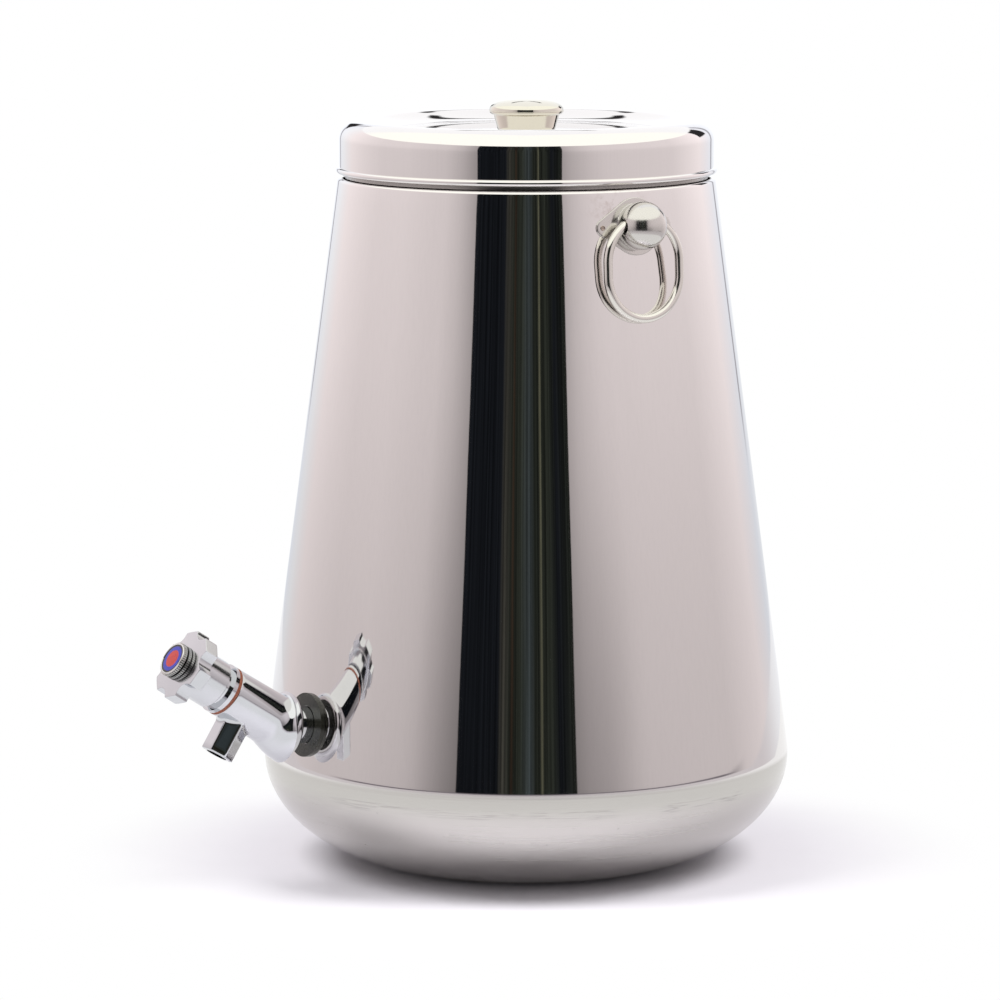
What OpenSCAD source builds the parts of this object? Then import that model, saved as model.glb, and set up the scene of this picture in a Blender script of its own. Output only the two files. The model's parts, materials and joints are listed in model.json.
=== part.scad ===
// Tapered steel drinking-water container with a lift-off lid, two ring handles and a screw-down tap.
// Millimetres. The origin is on the vessel's axis at its foot, +Z is up and the tap points along -Y.

/* [Vessel] */
// Outer radius of the wall at the belly
belly_r = 148.9; // [130:0.1:170]
// Height of the belly, where the straight wall runs into the base curve
belly_z = 66.7; // [60:0.1:70]
// Lean of the straight wall from the vertical, in degrees
wall_taper = 7.55; // [6:0.05:8.5]
// Height of the shoulder under the lid
shoulder_z = 389.4; // [360:0.1:430]
// Rounding of the shoulder
shoulder_round = 3; // [2:0.1:4]
// Width of the flat ring between the shoulder's rounding and the neck
shoulder_flat = 1.5; // [1:0.1:2]
// Thickness of the vessel's sheet steel
sheet = 0.8; // [0.6:0.05:1.2]
// Radius of the flat foot
foot_r = 78.4; // [65:0.1:90]
// How far the base curve runs straight on from the wall
belly_lead = 31; // [24:0.5:36]
// How far the base curve runs straight on from the foot
foot_lead = 45; // [35:0.5:50]
// Rise of the base curve where it leaves the foot, in degrees
foot_rise = 8.7; // [6:0.1:12]
// Place of the weld along the base curve, from 0 at the belly to 1 at the foot
seam_at = 0.16; // [0.1:0.01:0.25]
// Gap left by a weld between two sheets
weld_gap = 0.05; // [0.02:0.01:0.1]

/* [Neck and lid] */
// Radius of the rolled rim's section
rim_roll_r = 1.6; // [1.2:0.1:2]
// How far the neck collar reaches below the shoulder
neck_lap = 6; // [4:0.5:10]
// Depth of the rim's centre below the centre of the lid's crest
rim_drop = 1; // [0.5:0.1:3]
// Clearance between the rim and the lid's skirt
lid_clear = 0.3; // [0.2:0.05:0.8]
// Gap between a piece and the seat that it rests on
seat_gap = 0.3; // [0.2:0.05:0.5]
// Gap that shows between the lid's bead and the shoulder, because the lid rests on the rim
lid_gap = 2.2; // [1:0.1:3]
// Thickness of the lid's sheet steel
lid_sheet = 0.7; // [0.5:0.05:1]
// Radius of the rolled bead's section at the lid's foot
lid_bead_r = 1.8; // [1.4:0.1:2.2]
// Height of the lid's straight skirt, from the bead's centre to the crest's centre
lid_skirt_h = 16.9; // [14:0.1:30]
// Outer radius of the lid's rounded crest
crest_r = 11.5; // [9:0.1:14]
// How far the crest's rounding runs on past its top, in degrees
crest_over = 30; // [24:1:36]
// Place on the crest, in degrees above its centre, where the lid's top is welded to its skirt
crest_split = 15; // [12:1:25]
// Depth of the lid's dished middle below the crest
dish_depth = 6; // [4.5:0.1:8]

/* [Lid knob] */
// Greatest radius of the knob
lid_knob_r = 21; // [18:0.1:26]
// Height of the knob above the dished middle
lid_knob_h = 17.5; // [15:0.1:22]
// Height of the knob's cap
lid_cap_h = 9.2; // [7.5:0.1:10.5]
// Radius of the cap's rolled-under edge
lid_lip_r = 2.5; // [2:0.1:3]
// Outer radius of the knob's neck at its foot
lid_neck_r = 16.5; // [13:0.1:17.5]
// Thickness of the knob's sheet steel
lid_knob_sheet = 0.8; // [0.6:0.05:1.1]
// Radius of the knob's screw
lid_screw_r = 2.5; // [2:0.1:3]
// Radius of the screw's head
lid_screw_head_r = 4.5; // [4:0.1:5.5]
// Height of the screw's head
lid_screw_head_h = 2.4; // [1.5:0.1:3]
// Radius of the washer under the screw's head
lid_washer_r = 7; // [6:0.1:9]
// Thickness of that washer
lid_washer_t = 1; // [0.8:0.1:1.6]
// Width across the flats of the knob's nut
lid_nut_af = 8; // [7:0.1:10]
// Height of the knob's nut
lid_nut_h = 4; // [3:0.1:5]
// Clearance round a screw in a plain hole
screw_clear = 0.2; // [0.1:0.05:0.4]
// Clearance round a screw in its thread
thread_clear = 0.05; // [0.02:0.01:0.1]

/* [Ring handles] */
// How far below the shoulder the lugs sit on the wall
lug_below = 20.7; // [18.4:0.1:49.4]
// Outer radius of a lug's dome
lug_dome_r = 13.3; // [12:0.1:15]
// Thickness of a lug's sheet steel
lug_sheet = 1; // [0.8:0.05:1.2]
// How much narrower a dome's skirt is than its ball
lug_waist = 1; // [0.8:0.1:1.2]
// Width of the flange round the dome
lug_flange = 2.5; // [2:0.1:4]
// Radius of the flange's two ears
lug_ear_r = 5; // [4:0.1:7]
// Distance of each ear's centre from the dome's axis
lug_ear_at = 19.5; // [18:0.1:24]
// How far the straight edges between a lug's flange and its ears lie inside a tangent line
ear_web = 0.3; // [0.2:0.05:0.5]
// Thickness of the ring's wire
ring_wire = 5; // [4:0.1:5.5]
// Bend radius of the ring, at the middle of the wire
ring_bend_r = 23.5; // [21:0.1:28]
// Length of the ring's straight sides
ring_straight = 7.5; // [0.5:0.1:15]
// Play of the ring in the dome's side holes
ring_play = 1.1; // [0.9:0.05:1.6]
// Gap between the ring's inner arc and the wall when the ring is lifted
ring_wall_gap = 0.7; // [0.5:0.05:1.2]

/* [Tap fixing] */
// Height at which the tap goes through the wall
tap_z = 90; // [88:0.1:130]
// Radius of the tap's threaded shank
shank_r = 10.4; // [9:0.1:11]
// Clearance between the shank and the hole in the wall
shank_clear = 0.4; // [0.2:0.05:0.8]
// Radius of the rubber washer outside the wall
outer_washer_r = 17.8; // [16:0.1:20]
// Thickness of the rubber washer outside the wall
outer_washer_t = 1.5; // [1.2:0.1:4]
// Radius of the rubber washer inside the wall
inner_washer_r = 16; // [15:0.1:18]
// Thickness of the rubber washer inside the wall
inner_washer_t = 3; // [2.5:0.1:4]
// Width across the flats of the back nut
back_nut_af = 27; // [25:0.5:30]
// Height of the back nut
back_nut_h = 7; // [5:0.1:9]
// Length of shank that shows past the back nut
shank_end = 3; // [1:0.1:6]

/* [Tap body] */
// Distance from the wall to the elbow, where the shank's and the barrel's axes meet
elbow_at = 19; // [17.5:0.1:22]
// Upward turn of the barrel from the shank's axis, in degrees
barrel_tilt = 25.5; // [20:0.5:30]
// Radius of the rounded bulb at the elbow
bulb_r = 18.2; // [17.5:0.1:20]
// Thickness of the bulb
bulb_t = 8.5; // [7.5:0.1:10]
// Distance from the wall to the bulb
bulb_at = 11; // [9:0.1:12]
// Radius of the ball that rounds the elbow
elbow_r = 16; // [15.5:0.1:17.5]
// Outer radius of the barrel at the elbow
barrel_root_r = 15.2; // [14.6:0.1:16]
// Outer radius of the barrel at its mouth
barrel_mouth_r = 14.4; // [13.5:0.1:15]
// Length of the barrel from the elbow to its mouth
barrel_len = 39.5; // [38:0.1:45]
// Radius of the water way through the shank
inlet_r = 7.5; // [6.5:0.1:8]
// How much wider the water way is at the elbow
inlet_round = 0.4; // [0.3:0.1:0.8]
// Radius of the hole in the valve's seat
seat_r = 5.5; // [4.5:0.1:6]
// Distance of the valve's seat from the elbow
seat_at = 16.5; // [15.5:0.1:17]
// Height of the seat's raised ring
seat_ring_h = 1; // [0.6:0.1:1.5]
// Width of the seat's raised ring
seat_ring_w = 1.6; // [1.2:0.1:2]
// Radius of the chamber above the seat
chamber_r = 11; // [10.4:0.1:11.5]
// Distance of the spout's axis from the elbow
spout_at = 25.2; // [24:0.1:26]
// Width across the flats of the hexagonal spout
spout_af = 16.5; // [15:0.1:18]
// Length of the spout from the barrel's axis to its end
spout_len = 32.5; // [26:0.1:40]
// Radius of the spout's bore
spout_bore_r = 6; // [5:0.1:6.5]

/* [Tap headwork] */
// Thickness of the fibre washer under the bonnet
fibre_t = 2; // [1.5:0.1:3]
// Thickness of the bonnet's flange
bonnet_flange_t = 2.5; // [2:0.1:4]
// Radius of the groove above the bonnet's flange
bonnet_groove_r = 12; // [11:0.1:12.3]
// Width of that groove
bonnet_groove_w = 3.5; // [2.5:0.1:4.5]
// Radius of the bonnet's neck inside the knob
bonnet_neck_r = 8.5; // [7.8:0.1:10]
// Length of the bonnet's neck
bonnet_neck_len = 9; // [8:0.1:11]
// Length of the gland bore that carries the spindle
gland_len = 8; // [7:0.1:8]
// Width across the flats of the jumper
jumper_af = 12; // [11:0.1:13]
// Sliding clearance between the jumper and the bonnet, on each flat
jumper_clear = 0.15; // [0.1:0.05:0.3]
// Radius of the jumper's plate
jumper_plate_r = 8; // [7.6:0.1:9]
// Thickness of the jumper's plate
jumper_plate_t = 1.5; // [1:0.1:2]
// Radius of the rubber valve washer
valve_washer_r = 7.6; // [7.2:0.1:8.2]
// Thickness of the rubber valve washer
valve_washer_t = 3; // [2.5:0.1:3.5]
// Gap between the closed valve washer and its seat
valve_gap = 0.1; // [0.05:0.01:0.2]
// Lift of the valve from closed to open
valve_lift = 4.5; // [3:0.1:5]
// Radius of the screw that holds the valve washer
jumper_screw_r = 1.4; // [1.2:0.1:1.6]
// Radius of that screw's head
jumper_screw_head_r = 3.2; // [2.8:0.1:3.6]
// Height of that screw's head
jumper_screw_head_h = 1.5; // [1:0.1:2]
// Radius of the spindle in the gland
spindle_r = 4; // [3.6:0.1:4.4]
// Radius of the spindle's thread in the jumper
spindle_thread_r = 2.95; // [2.6:0.05:3.2]
// Running clearance of the spindle
spindle_clear = 0.05; // [0.02:0.01:0.1]
// Radius of the spindle's collar
collar_r = 5.2; // [4.9:0.1:5.4]
// Thickness of the spindle's collar
collar_t = 2; // [1.5:0.1:2.5]
// End play of the spindle and of the knob
end_play = 0.3; // [0.2:0.05:0.5]
// Thickness of the O-ring's section
o_ring_t = 1.6; // [1.2:0.1:1.8]
// Thickness of the circlip
circlip_t = 0.9; // [0.7:0.1:1.2]
// Outer radius of the circlip
circlip_r = 6.5; // [5.5:0.1:7.5]
// Depth of the circlip's groove in the spindle
circlip_groove = 0.6; // [0.4:0.05:0.8]

/* [Tap knob] */
// Outer radius of the knob's skirt
knob_skirt_r = 14; // [13.6:0.1:15]
// Wall of the knob's skirt
knob_skirt_wall = 1.4; // [1:0.1:1.6]
// Length of the knob's skirt
knob_skirt_len = 15.9; // [14.5:0.1:18]
// Distance from the knob's axis to the flat of each lobe
knob_lobe_r = 20; // [18:0.1:23]
// Radius of the notches between the lobes
knob_notch_r = 6.5; // [5:0.1:7.5]
// Turn of the notches round the knob's axis when the tap is closed, in degrees
knob_rest = 16; // [0:1:59]
// Length of the lobes
knob_lobe_len = 8.5; // [8:0.1:12]
// Height of the knob's conical front
knob_front_h = 0.7; // [0.5:0.1:2]
// Width across the square drive on the spindle
drive_w = 5.4; // [5:0.1:5.6]
// Clearance of a fixed fit inside the knob
knob_fit = 0.1; // [0.05:0.01:0.2]
// Thickness of the knob's web under the screw's head
knob_web = 2; // [1.5:0.1:3]
// Radius of the knob's screw
knob_screw_r = 1.9; // [1.6:0.1:2]
// Length of the knob's screw under its head
knob_screw_len = 10; // [8:0.1:11]
// Radius of the knob's screw head
knob_screw_head_r = 4; // [3.5:0.1:4.5]
// Height of the knob's screw head
knob_screw_head_h = 2.2; // [1.5:0.1:2.6]
// Radius of the knurled index cap
cap_r = 10; // [9:0.1:10.8]
// Height of the index cap
cap_h = 6.1; // [5.5:0.1:8]
// Depth of the groove between the cap's two knurled bands
cap_groove = 0.6; // [0.3:0.1:1]
// Width of that groove
cap_groove_w = 0.8; // [0.5:0.1:1.2]
// Width of the cap's rim round the index disc
cap_rim = 1.6; // [1:0.1:2.5]
// Length of the cap's spigot in the knob
cap_spigot = 2.2; // [1.5:0.1:2.5]
// Thickness of the index disc
disc_t = 1; // [0.6:0.1:1.5]
// Depth of the index disc below the cap's rim
disc_sunk = 0.4; // [0.2:0.1:0.8]

/* [Hidden] */
$fn = 96;
wall_fn = 480;
curve_steps = 20;
arc_steps = 10;
lobes = 6;
cut = 1;

// Points along curves, as [radius, height] pairs
function arc(centre, r, from, to) =
    [for (i = [0:arc_steps]) let (a = from + (to - from) * i / arc_steps) centre + r * [cos(a), sin(a)]];
function bezier(p, u) =
    pow(1 - u, 3) * p[0] + 3 * u * pow(1 - u, 2) * p[1] + 3 * u * u * (1 - u) * p[2] + pow(u, 3) * p[3];
function bezier_slope(p, u) =
    pow(1 - u, 2) * (p[1] - p[0]) + 2 * u * (1 - u) * (p[2] - p[1]) + u * u * (p[3] - p[2]);
function inward(p, u) = let (t = bezier_slope(p, u)) [t[1], -t[0]] / norm(t);
function steps(from, to) = [for (i = [0:curve_steps]) from + (to - from) * i / curve_steps];
function circumradius(across_flats) = across_flats / 2 / cos(30);

// Wall and base curve
function wall_r(z) = belly_r - (z - belly_z) * tan(wall_taper);
base_curve = [
    [belly_r, belly_z],
    [belly_r + belly_lead * sin(wall_taper), belly_z - belly_lead * cos(wall_taper)],
    [foot_r + foot_lead * cos(foot_rise), foot_lead * sin(foot_rise)],
    [foot_r, 0]
];
function base_outer(from, to) = [for (u = steps(from, to)) bezier(base_curve, u)];
function base_inner(from, to) =
    [for (u = steps(from, to)) bezier(base_curve, u) + sheet * inward(base_curve, u)];

// Shoulder and neck
shoulder_c_z = shoulder_z - shoulder_round;
wall_reach = belly_r * cos(wall_taper) + belly_z * sin(wall_taper);
shoulder_c_r = (wall_reach - shoulder_round - shoulder_c_z * sin(wall_taper)) / cos(wall_taper);
shoulder_c = [shoulder_c_r, shoulder_c_z];
neck_r = shoulder_c_r - shoulder_flat;
rim_r = neck_r - sheet + rim_roll_r;

// Lid
lid_in_r = rim_r + rim_roll_r + lid_clear;
lid_r = lid_in_r + lid_sheet;
bead_reach = shoulder_round + lid_bead_r + lid_gap;
lid_bead_z = shoulder_c_z + sqrt(pow(bead_reach, 2) - pow(lid_r - shoulder_c_r, 2));
crest_c = [lid_r - crest_r, lid_bead_z + lid_skirt_h];
top_from = crest_split + weld_gap / crest_r * 180 / PI;
rim_z = crest_c[1] - rim_drop;
dish_z = crest_c[1] + crest_r - dish_depth;
dish_r = (dish_depth - crest_r * (1 - cos(crest_over))) / (1 - cos(crest_over));
dish_c = crest_c + (crest_r + dish_r) * [-sin(crest_over), cos(crest_over)];

// Lid knob
cap_under_z = dish_z + lid_knob_h - lid_cap_h;
cap_wide_z = cap_under_z + lid_lip_r;
cap_lip_r = lid_knob_r - lid_lip_r;
cap_rise = lid_cap_h - lid_lip_r;
neck_floor_z = dish_z + lid_knob_sheet;
lid_under_z = dish_z - lid_sheet;
lid_hole_r = lid_screw_r + screw_clear;

// Lugs and rings
lug_z = shoulder_z - lug_below;
wire_r = ring_wire / 2;
pivot_half = lug_dome_r - lug_sheet / 2;
ring_drop = sqrt(pow(ring_bend_r, 2) - pow(pivot_half, 2));
lug_hole_r = wire_r * ring_bend_r / ring_drop + ring_play;
pivot_off = ring_bend_r - ring_drop + wire_r + ring_wall_gap;
ring_reach = ring_drop + ring_straight + ring_bend_r;
ring_lean = wall_taper - asin((pivot_off - wire_r - seat_gap) / ring_reach);
lug_flange_r = lug_dome_r + lug_flange;
ear_turn = acos((lug_flange_r - lug_ear_r) / lug_ear_at);
web_r = lug_flange_r - ear_web;
web_ear_r = lug_ear_r - ear_web;
flange_depth = lug_ear_at / 2;

// Tap, along the shank's axis from the wall
tap_wall_r = wall_r(tap_z);
wall_hole_r = shank_r + shank_clear;
inner_face = -sheet - inner_washer_t;
shank_in = inner_face - back_nut_h - shank_end;
bulb_edge_r = bulb_t / 2;

// Tap, along the barrel's axis from the elbow
chamber_floor = seat_at - seat_ring_h;
flange_at = barrel_len + fibre_t;
groove_at = flange_at + bonnet_flange_t;
neck_at = groove_at + bonnet_groove_w;
bonnet_top = neck_at + bonnet_neck_len;
gland_at = bonnet_top - gland_len;
bonnet_foot = spout_at + spout_bore_r + end_play;
spigot_r = chamber_r - thread_clear;
collar_top = gland_at - end_play;
collar_at = collar_top - collar_t;
jumper_top = collar_at - end_play - valve_lift;
valve_washer_at = seat_at + valve_gap;
plate_at = valve_washer_at + valve_washer_t;
stem_at = plate_at + jumper_plate_t;
jumper_screw_top = stem_at + 2 * jumper_screw_r;
jumper_floor = jumper_screw_top + jumper_screw_r;
spindle_end = jumper_floor + valve_lift + end_play;
circlip_at = bonnet_top + end_play;
o_ring_at = gland_at + gland_len / 2;
o_ring_r = spindle_r - o_ring_t / 2;
o_groove_r = spindle_r - o_ring_t - thread_clear;
knob_at = neck_at + end_play;
lobe_at = knob_at + knob_skirt_len;
front_at = lobe_at + knob_lobe_len;
knob_top = front_at + knob_front_h;
knob_hollow_r = knob_skirt_r - knob_skirt_wall;
drive_at = circlip_at + circlip_t + end_play;
web_top = knob_top - cap_spigot - knob_screw_head_h - end_play;
drive_top = web_top - knob_web - knob_fit;
counterbore_r = knob_screw_head_r + screw_clear;
disc_at = knob_top + cap_h - disc_sunk - disc_t;
disc_r = cap_r - cap_rim;

// The solid inside the wall's outer face, grown outwards by a distance along its normal.
// Its lengthwise seam is turned away from the tap and the lugs.
module wall_solid(grow) {
    low = belly_z / 2;
    translate([0, 0, low]) rotate([0, 0, 135])
        cylinder(h = shoulder_z - low, r1 = wall_r(low) + grow / cos(wall_taper),
            r2 = wall_r(shoulder_z) + grow / cos(wall_taper), $fn = wall_fn);
}

// A round bar from one height to another
module bar(r, from, to) {
    translate([0, 0, from]) cylinder(h = to - from, r = r);
}

// A hexagonal bar with its corners along X
module hex_bar(across_flats, from, to) {
    translate([0, 0, from]) cylinder(h = to - from, r = circumradius(across_flats), $fn = 6);
}

// A square bar with its flats across X and Y
module square_bar(across_flats, from, to) {
    translate([-across_flats / 2, -across_flats / 2, from]) cube([across_flats, across_flats, to - from]);
}

// A ring with a rectangular section
module washer(inner_r, outer_r, from, to) {
    difference() {
        bar(outer_r, from, to);
        bar(inner_r, from - cut, to + cut);
    }
}

// The tap's place on the wall: Z along the shank, out of the vessel
module on_shank() {
    translate([0, -tap_wall_r, tap_z]) rotate([90 - wall_taper, 0, 0]) children();
}

// The tap's barrel: Z along the barrel from the elbow
module on_barrel() {
    on_shank() translate([0, 0, elbow_at]) rotate([-barrel_tilt, 0, 0]) children();
}

// A lug's place on the wall, on the +X side: Z out of the wall, Y along the ring's pivot
module on_lug() {
    translate([wall_r(lug_z), 0, lug_z]) rotate([0, 90 - wall_taper, 0]) children();
}

module base_bowl() {
    color("silver") rotate_extrude()
        polygon(concat(base_outer(seam_at, 1), [[0, 0], [0, sheet]], base_inner(1, seam_at)));
}

module vessel_wall() {
    edge_r = neck_r + weld_gap;
    color("gainsboro") difference() {
        rotate_extrude()
            polygon(concat(
                base_outer(seam_at, 0),
                arc(shoulder_c, shoulder_round, wall_taper, 90),
                [[edge_r, shoulder_z], [edge_r, shoulder_z - sheet]],
                arc(shoulder_c, shoulder_round - sheet, 90, wall_taper),
                base_inner(0, seam_at)));
        on_shank() bar(wall_hole_r, shank_in, elbow_at);
    }
}

module neck_collar() {
    color("silver") rotate_extrude() union() {
        translate([neck_r - sheet, shoulder_z - neck_lap]) square([sheet, rim_z - shoulder_z + neck_lap]);
        translate([rim_r, rim_z]) circle(r = rim_roll_r);
    }
}

// The lid's pressed top: the crest and the dished middle
module lid_top() {
    color("gainsboro") rotate_extrude()
        polygon(concat(
            arc(crest_c, crest_r, top_from, 90 + crest_over),
            arc(dish_c, dish_r, crest_over - 90, -90),
            [[lid_hole_r, dish_z], [lid_hole_r, lid_under_z]],
            arc(dish_c, dish_r + lid_sheet, -90, crest_over - 90),
            arc(crest_c, crest_r - lid_sheet, 90 + crest_over, top_from)));
}

// The lid's straight skirt, with the rolled bead at its foot
module lid_skirt() {
    color("gainsboro") rotate_extrude() union() {
        polygon(concat(
            [[lid_in_r, lid_bead_z], [lid_r, lid_bead_z]],
            arc(crest_c, crest_r, 0, crest_split),
            arc(crest_c, crest_r - lid_sheet, crest_split, 0)));
        intersection() {
            translate([lid_r, lid_bead_z]) circle(r = lid_bead_r);
            translate([lid_in_r, lid_bead_z - lid_bead_r]) square(2 * lid_bead_r);
        }
    }
}

module lid_knob_cap() {
    function dome(r, h) = [for (i = [0:curve_steps]) let (a = 90 * i / curve_steps)
        [r * sin(a), cap_wide_z + h * cos(a)]];
    function under(r, h) = [for (i = [0:curve_steps]) let (a = 90 - 90 * i / curve_steps)
        [r * sin(a), cap_wide_z + h * cos(a)]];
    lip_c = [cap_lip_r, cap_wide_z];
    lip_in_r = cap_lip_r - 2 * lid_knob_sheet;
    color("silver") rotate_extrude()
        polygon(concat(
            dome(lid_knob_r, cap_rise),
            arc(lip_c, lid_lip_r, 0, -90),
            [[lip_in_r, cap_under_z], [lip_in_r, cap_under_z + lid_knob_sheet]],
            arc(lip_c, lid_lip_r - lid_knob_sheet, -90, 0),
            under(lid_knob_r - lid_knob_sheet, cap_rise - lid_knob_sheet)));
}

module lid_knob_neck() {
    color("silver") rotate_extrude()
        polygon([
            [lid_hole_r, dish_z],
            [lid_neck_r, dish_z],
            [cap_lip_r, cap_under_z],
            [cap_lip_r - lid_knob_sheet, cap_under_z],
            [lid_neck_r - lid_knob_sheet, neck_floor_z],
            [lid_hole_r, neck_floor_z]
        ]);
}

module lid_knob_screw() {
    head_z = lid_under_z - lid_washer_t;
    color("dimgray") union() {
        bar(lid_screw_head_r, head_z - lid_screw_head_h, head_z);
        bar(lid_screw_r, head_z, neck_floor_z + lid_nut_h);
    }
}

module lid_knob_washer() {
    color("gray") washer(lid_hole_r, lid_washer_r, lid_under_z - lid_washer_t, lid_under_z);
}

module lid_knob_nut() {
    color("gray") difference() {
        hex_bar(lid_nut_af, neck_floor_z, neck_floor_z + lid_nut_h);
        bar(lid_screw_r + thread_clear, dish_z, cap_under_z);
    }
}

// The flange's outline: a disc with an ear on each side, joined by nearly tangent straight edges
module lug_outline() {
    circle(r = lug_flange_r);
    for (side = [-1, 1]) {
        translate([0, side * lug_ear_at]) circle(r = lug_ear_r);
        polygon([
            [web_r * sin(ear_turn), side * web_r * cos(ear_turn)],
            [web_ear_r * sin(ear_turn), side * (lug_ear_at + web_ear_r * cos(ear_turn))],
            [-web_ear_r * sin(ear_turn), side * (lug_ear_at + web_ear_r * cos(ear_turn))],
            [-web_r * sin(ear_turn), side * web_r * cos(ear_turn)]
        ]);
    }
}

// The inside or the outside of a lug's dome: a ball on a slightly narrower skirt
module dome_profile(r) {
    skirt_r = r - lug_waist;
    translate([0, pivot_off]) circle(r = r);
    translate([-skirt_r, -flange_depth]) square([2 * skirt_r, pivot_off + flange_depth]);
}

module lug_dome() {
    rotate_extrude() intersection() {
        difference() {
            dome_profile(lug_dome_r);
            dome_profile(lug_dome_r - lug_sheet);
        }
        translate([0, -flange_depth]) square([lug_dome_r, flange_depth + pivot_off + lug_dome_r]);
    }
}

module lug() {
    difference() {
        union() {
            on_lug() lug_dome();
            intersection() {
                on_lug() translate([0, 0, -flange_depth]) linear_extrude(2 * flange_depth) difference() {
                    lug_outline();
                    circle(r = lug_dome_r - lug_waist - lug_sheet / 2);
                }
                wall_solid(weld_gap + lug_sheet);
            }
        }
        on_lug() translate([0, 0, pivot_off]) rotate([90, 0, 0])
            cylinder(h = 3 * lug_dome_r, r = lug_hole_r, center = true);
        wall_solid(weld_gap);
    }
}

module lug_right() {
    color("lightgray") lug();
}

module lug_left() {
    color("lightgray") rotate([0, 0, 180]) lug();
}

// Half of the ring's bend, in the YZ plane, with its open side down
module ring_bend() {
    rotate([90, 0, 90]) rotate_extrude(angle = 180) translate([ring_bend_r, 0]) circle(r = wire_r);
}

// A ring that hangs from its pivot and leans on the wall
module ring() {
    pivot_x = wall_r(lug_z) + pivot_off * cos(wall_taper);
    pivot_z = lug_z + pivot_off * sin(wall_taper);
    translate([pivot_x, 0, pivot_z]) rotate([0, -ring_lean, 0]) union() {
        translate([0, 0, -ring_drop]) ring_bend();
        translate([0, 0, -ring_drop - ring_straight]) rotate([180, 0, 0]) ring_bend();
        for (side = [-1, 1])
            translate([0, side * ring_bend_r, 0]) bar(wire_r, -ring_drop - ring_straight, -ring_drop);
    }
}

module ring_right() {
    color("lightgray") ring();
}

module ring_left() {
    color("lightgray") rotate([0, 0, 180]) ring();
}

// The spout's direction: Z along the spout, away from the barrel
module on_spout() {
    on_barrel() translate([0, 0, spout_at]) rotate([90, 0, 0]) children();
}

// The rounded bulb at the elbow: a disc with a full round edge
module bulb() {
    edge_c_r = bulb_r - bulb_edge_r;
    translate([0, 0, bulb_at + bulb_edge_r]) rotate_extrude() union() {
        translate([0, -bulb_edge_r]) square([edge_c_r, bulb_t]);
        intersection() {
            translate([edge_c_r, 0]) circle(r = bulb_edge_r);
            translate([0, -bulb_edge_r]) square([bulb_r, bulb_t]);
        }
    }
}

// The ball that rounds the elbow, on the bulb's outer side only
module elbow_ball() {
    intersection() {
        translate([0, 0, elbow_at]) sphere(r = elbow_r);
        bar(2 * elbow_r, bulb_at + bulb_edge_r, elbow_at + 2 * elbow_r);
    }
}

// The room above the valve's seat, with the seat's raised ring left standing in it
module chamber() {
    difference() {
        bar(chamber_r, chamber_floor, barrel_len + cut);
        bar(seat_r + seat_ring_w, chamber_floor - cut, seat_at);
    }
}

module tap_body() {
    color("whitesmoke") difference() {
        union() {
            on_shank() bar(shank_r, shank_in, elbow_at);
            on_shank() bulb();
            on_shank() elbow_ball();
            on_barrel() cylinder(h = barrel_len, r1 = barrel_root_r, r2 = barrel_mouth_r);
            on_spout() hex_bar(spout_af, 0, spout_len);
        }
        on_shank() bar(inlet_r, shank_in - cut, elbow_at);
        on_barrel() sphere(r = inlet_r + inlet_round);
        on_barrel() bar(seat_r, 0, seat_at + cut);
        on_barrel() chamber();
        on_spout() bar(spout_bore_r, 0, spout_len + cut);
    }
}

module tap_outer_washer() {
    color("dimgray") difference() {
        on_shank() washer(shank_r + shank_clear, outer_washer_r, inner_face, outer_washer_t);
        wall_solid(weld_gap);
    }
}

module tap_inner_washer() {
    color("dimgray") intersection() {
        on_shank() washer(shank_r + shank_clear, inner_washer_r, inner_face, 0);
        wall_solid(-sheet - weld_gap);
    }
}

module tap_back_nut() {
    color("goldenrod") on_shank() difference() {
        hex_bar(back_nut_af, inner_face - back_nut_h, inner_face);
        bar(shank_r + thread_clear, shank_in, 0);
    }
}

module fibre_washer() {
    color("sienna") on_barrel() washer(chamber_r, barrel_mouth_r, barrel_len, flange_at);
}

module bonnet() {
    color("whitesmoke") on_barrel() difference() {
        union() {
            bar(spigot_r, bonnet_foot, flange_at);
            bar(barrel_mouth_r, flange_at, groove_at);
            bar(bonnet_groove_r, groove_at, neck_at);
            bar(bonnet_neck_r, neck_at, bonnet_top);
        }
        hex_bar(jumper_af + 2 * jumper_clear, bonnet_foot - cut, gland_at);
        bar(spindle_r + spindle_clear, bonnet_foot, bonnet_top + cut);
    }
}

module spindle() {
    color("goldenrod") on_barrel() difference() {
        union() {
            bar(spindle_thread_r, spindle_end, collar_at);
            bar(collar_r, collar_at, collar_top);
            bar(spindle_r, collar_top, drive_at);
            square_bar(drive_w, drive_at - cut, drive_top);
        }
        washer(o_groove_r, spindle_r + cut, o_ring_at - o_ring_t / 2, o_ring_at + o_ring_t / 2);
        washer(spindle_r - circlip_groove, spindle_r + cut, circlip_at, circlip_at + circlip_t);
        bar(knob_screw_r + thread_clear, web_top - knob_screw_len - cut, drive_top + cut);
    }
}

module spindle_o_ring() {
    color("black") on_barrel() translate([0, 0, o_ring_at]) rotate_extrude()
        translate([o_ring_r, 0]) circle(r = o_ring_t / 2 - thread_clear);
}

module spindle_circlip() {
    color("gray") on_barrel()
        washer(spindle_r - circlip_groove, circlip_r, circlip_at, circlip_at + circlip_t);
}

module jumper() {
    color("goldenrod") on_barrel() difference() {
        union() {
            bar(jumper_plate_r, plate_at, stem_at);
            hex_bar(jumper_af, stem_at, jumper_top);
        }
        bar(spindle_thread_r + spindle_clear, jumper_floor, jumper_top + cut);
        bar(jumper_screw_r + thread_clear, plate_at - cut, jumper_screw_top);
    }
}

module jumper_washer() {
    color("black") on_barrel()
        washer(jumper_screw_r + screw_clear, valve_washer_r, valve_washer_at, plate_at);
}

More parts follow.
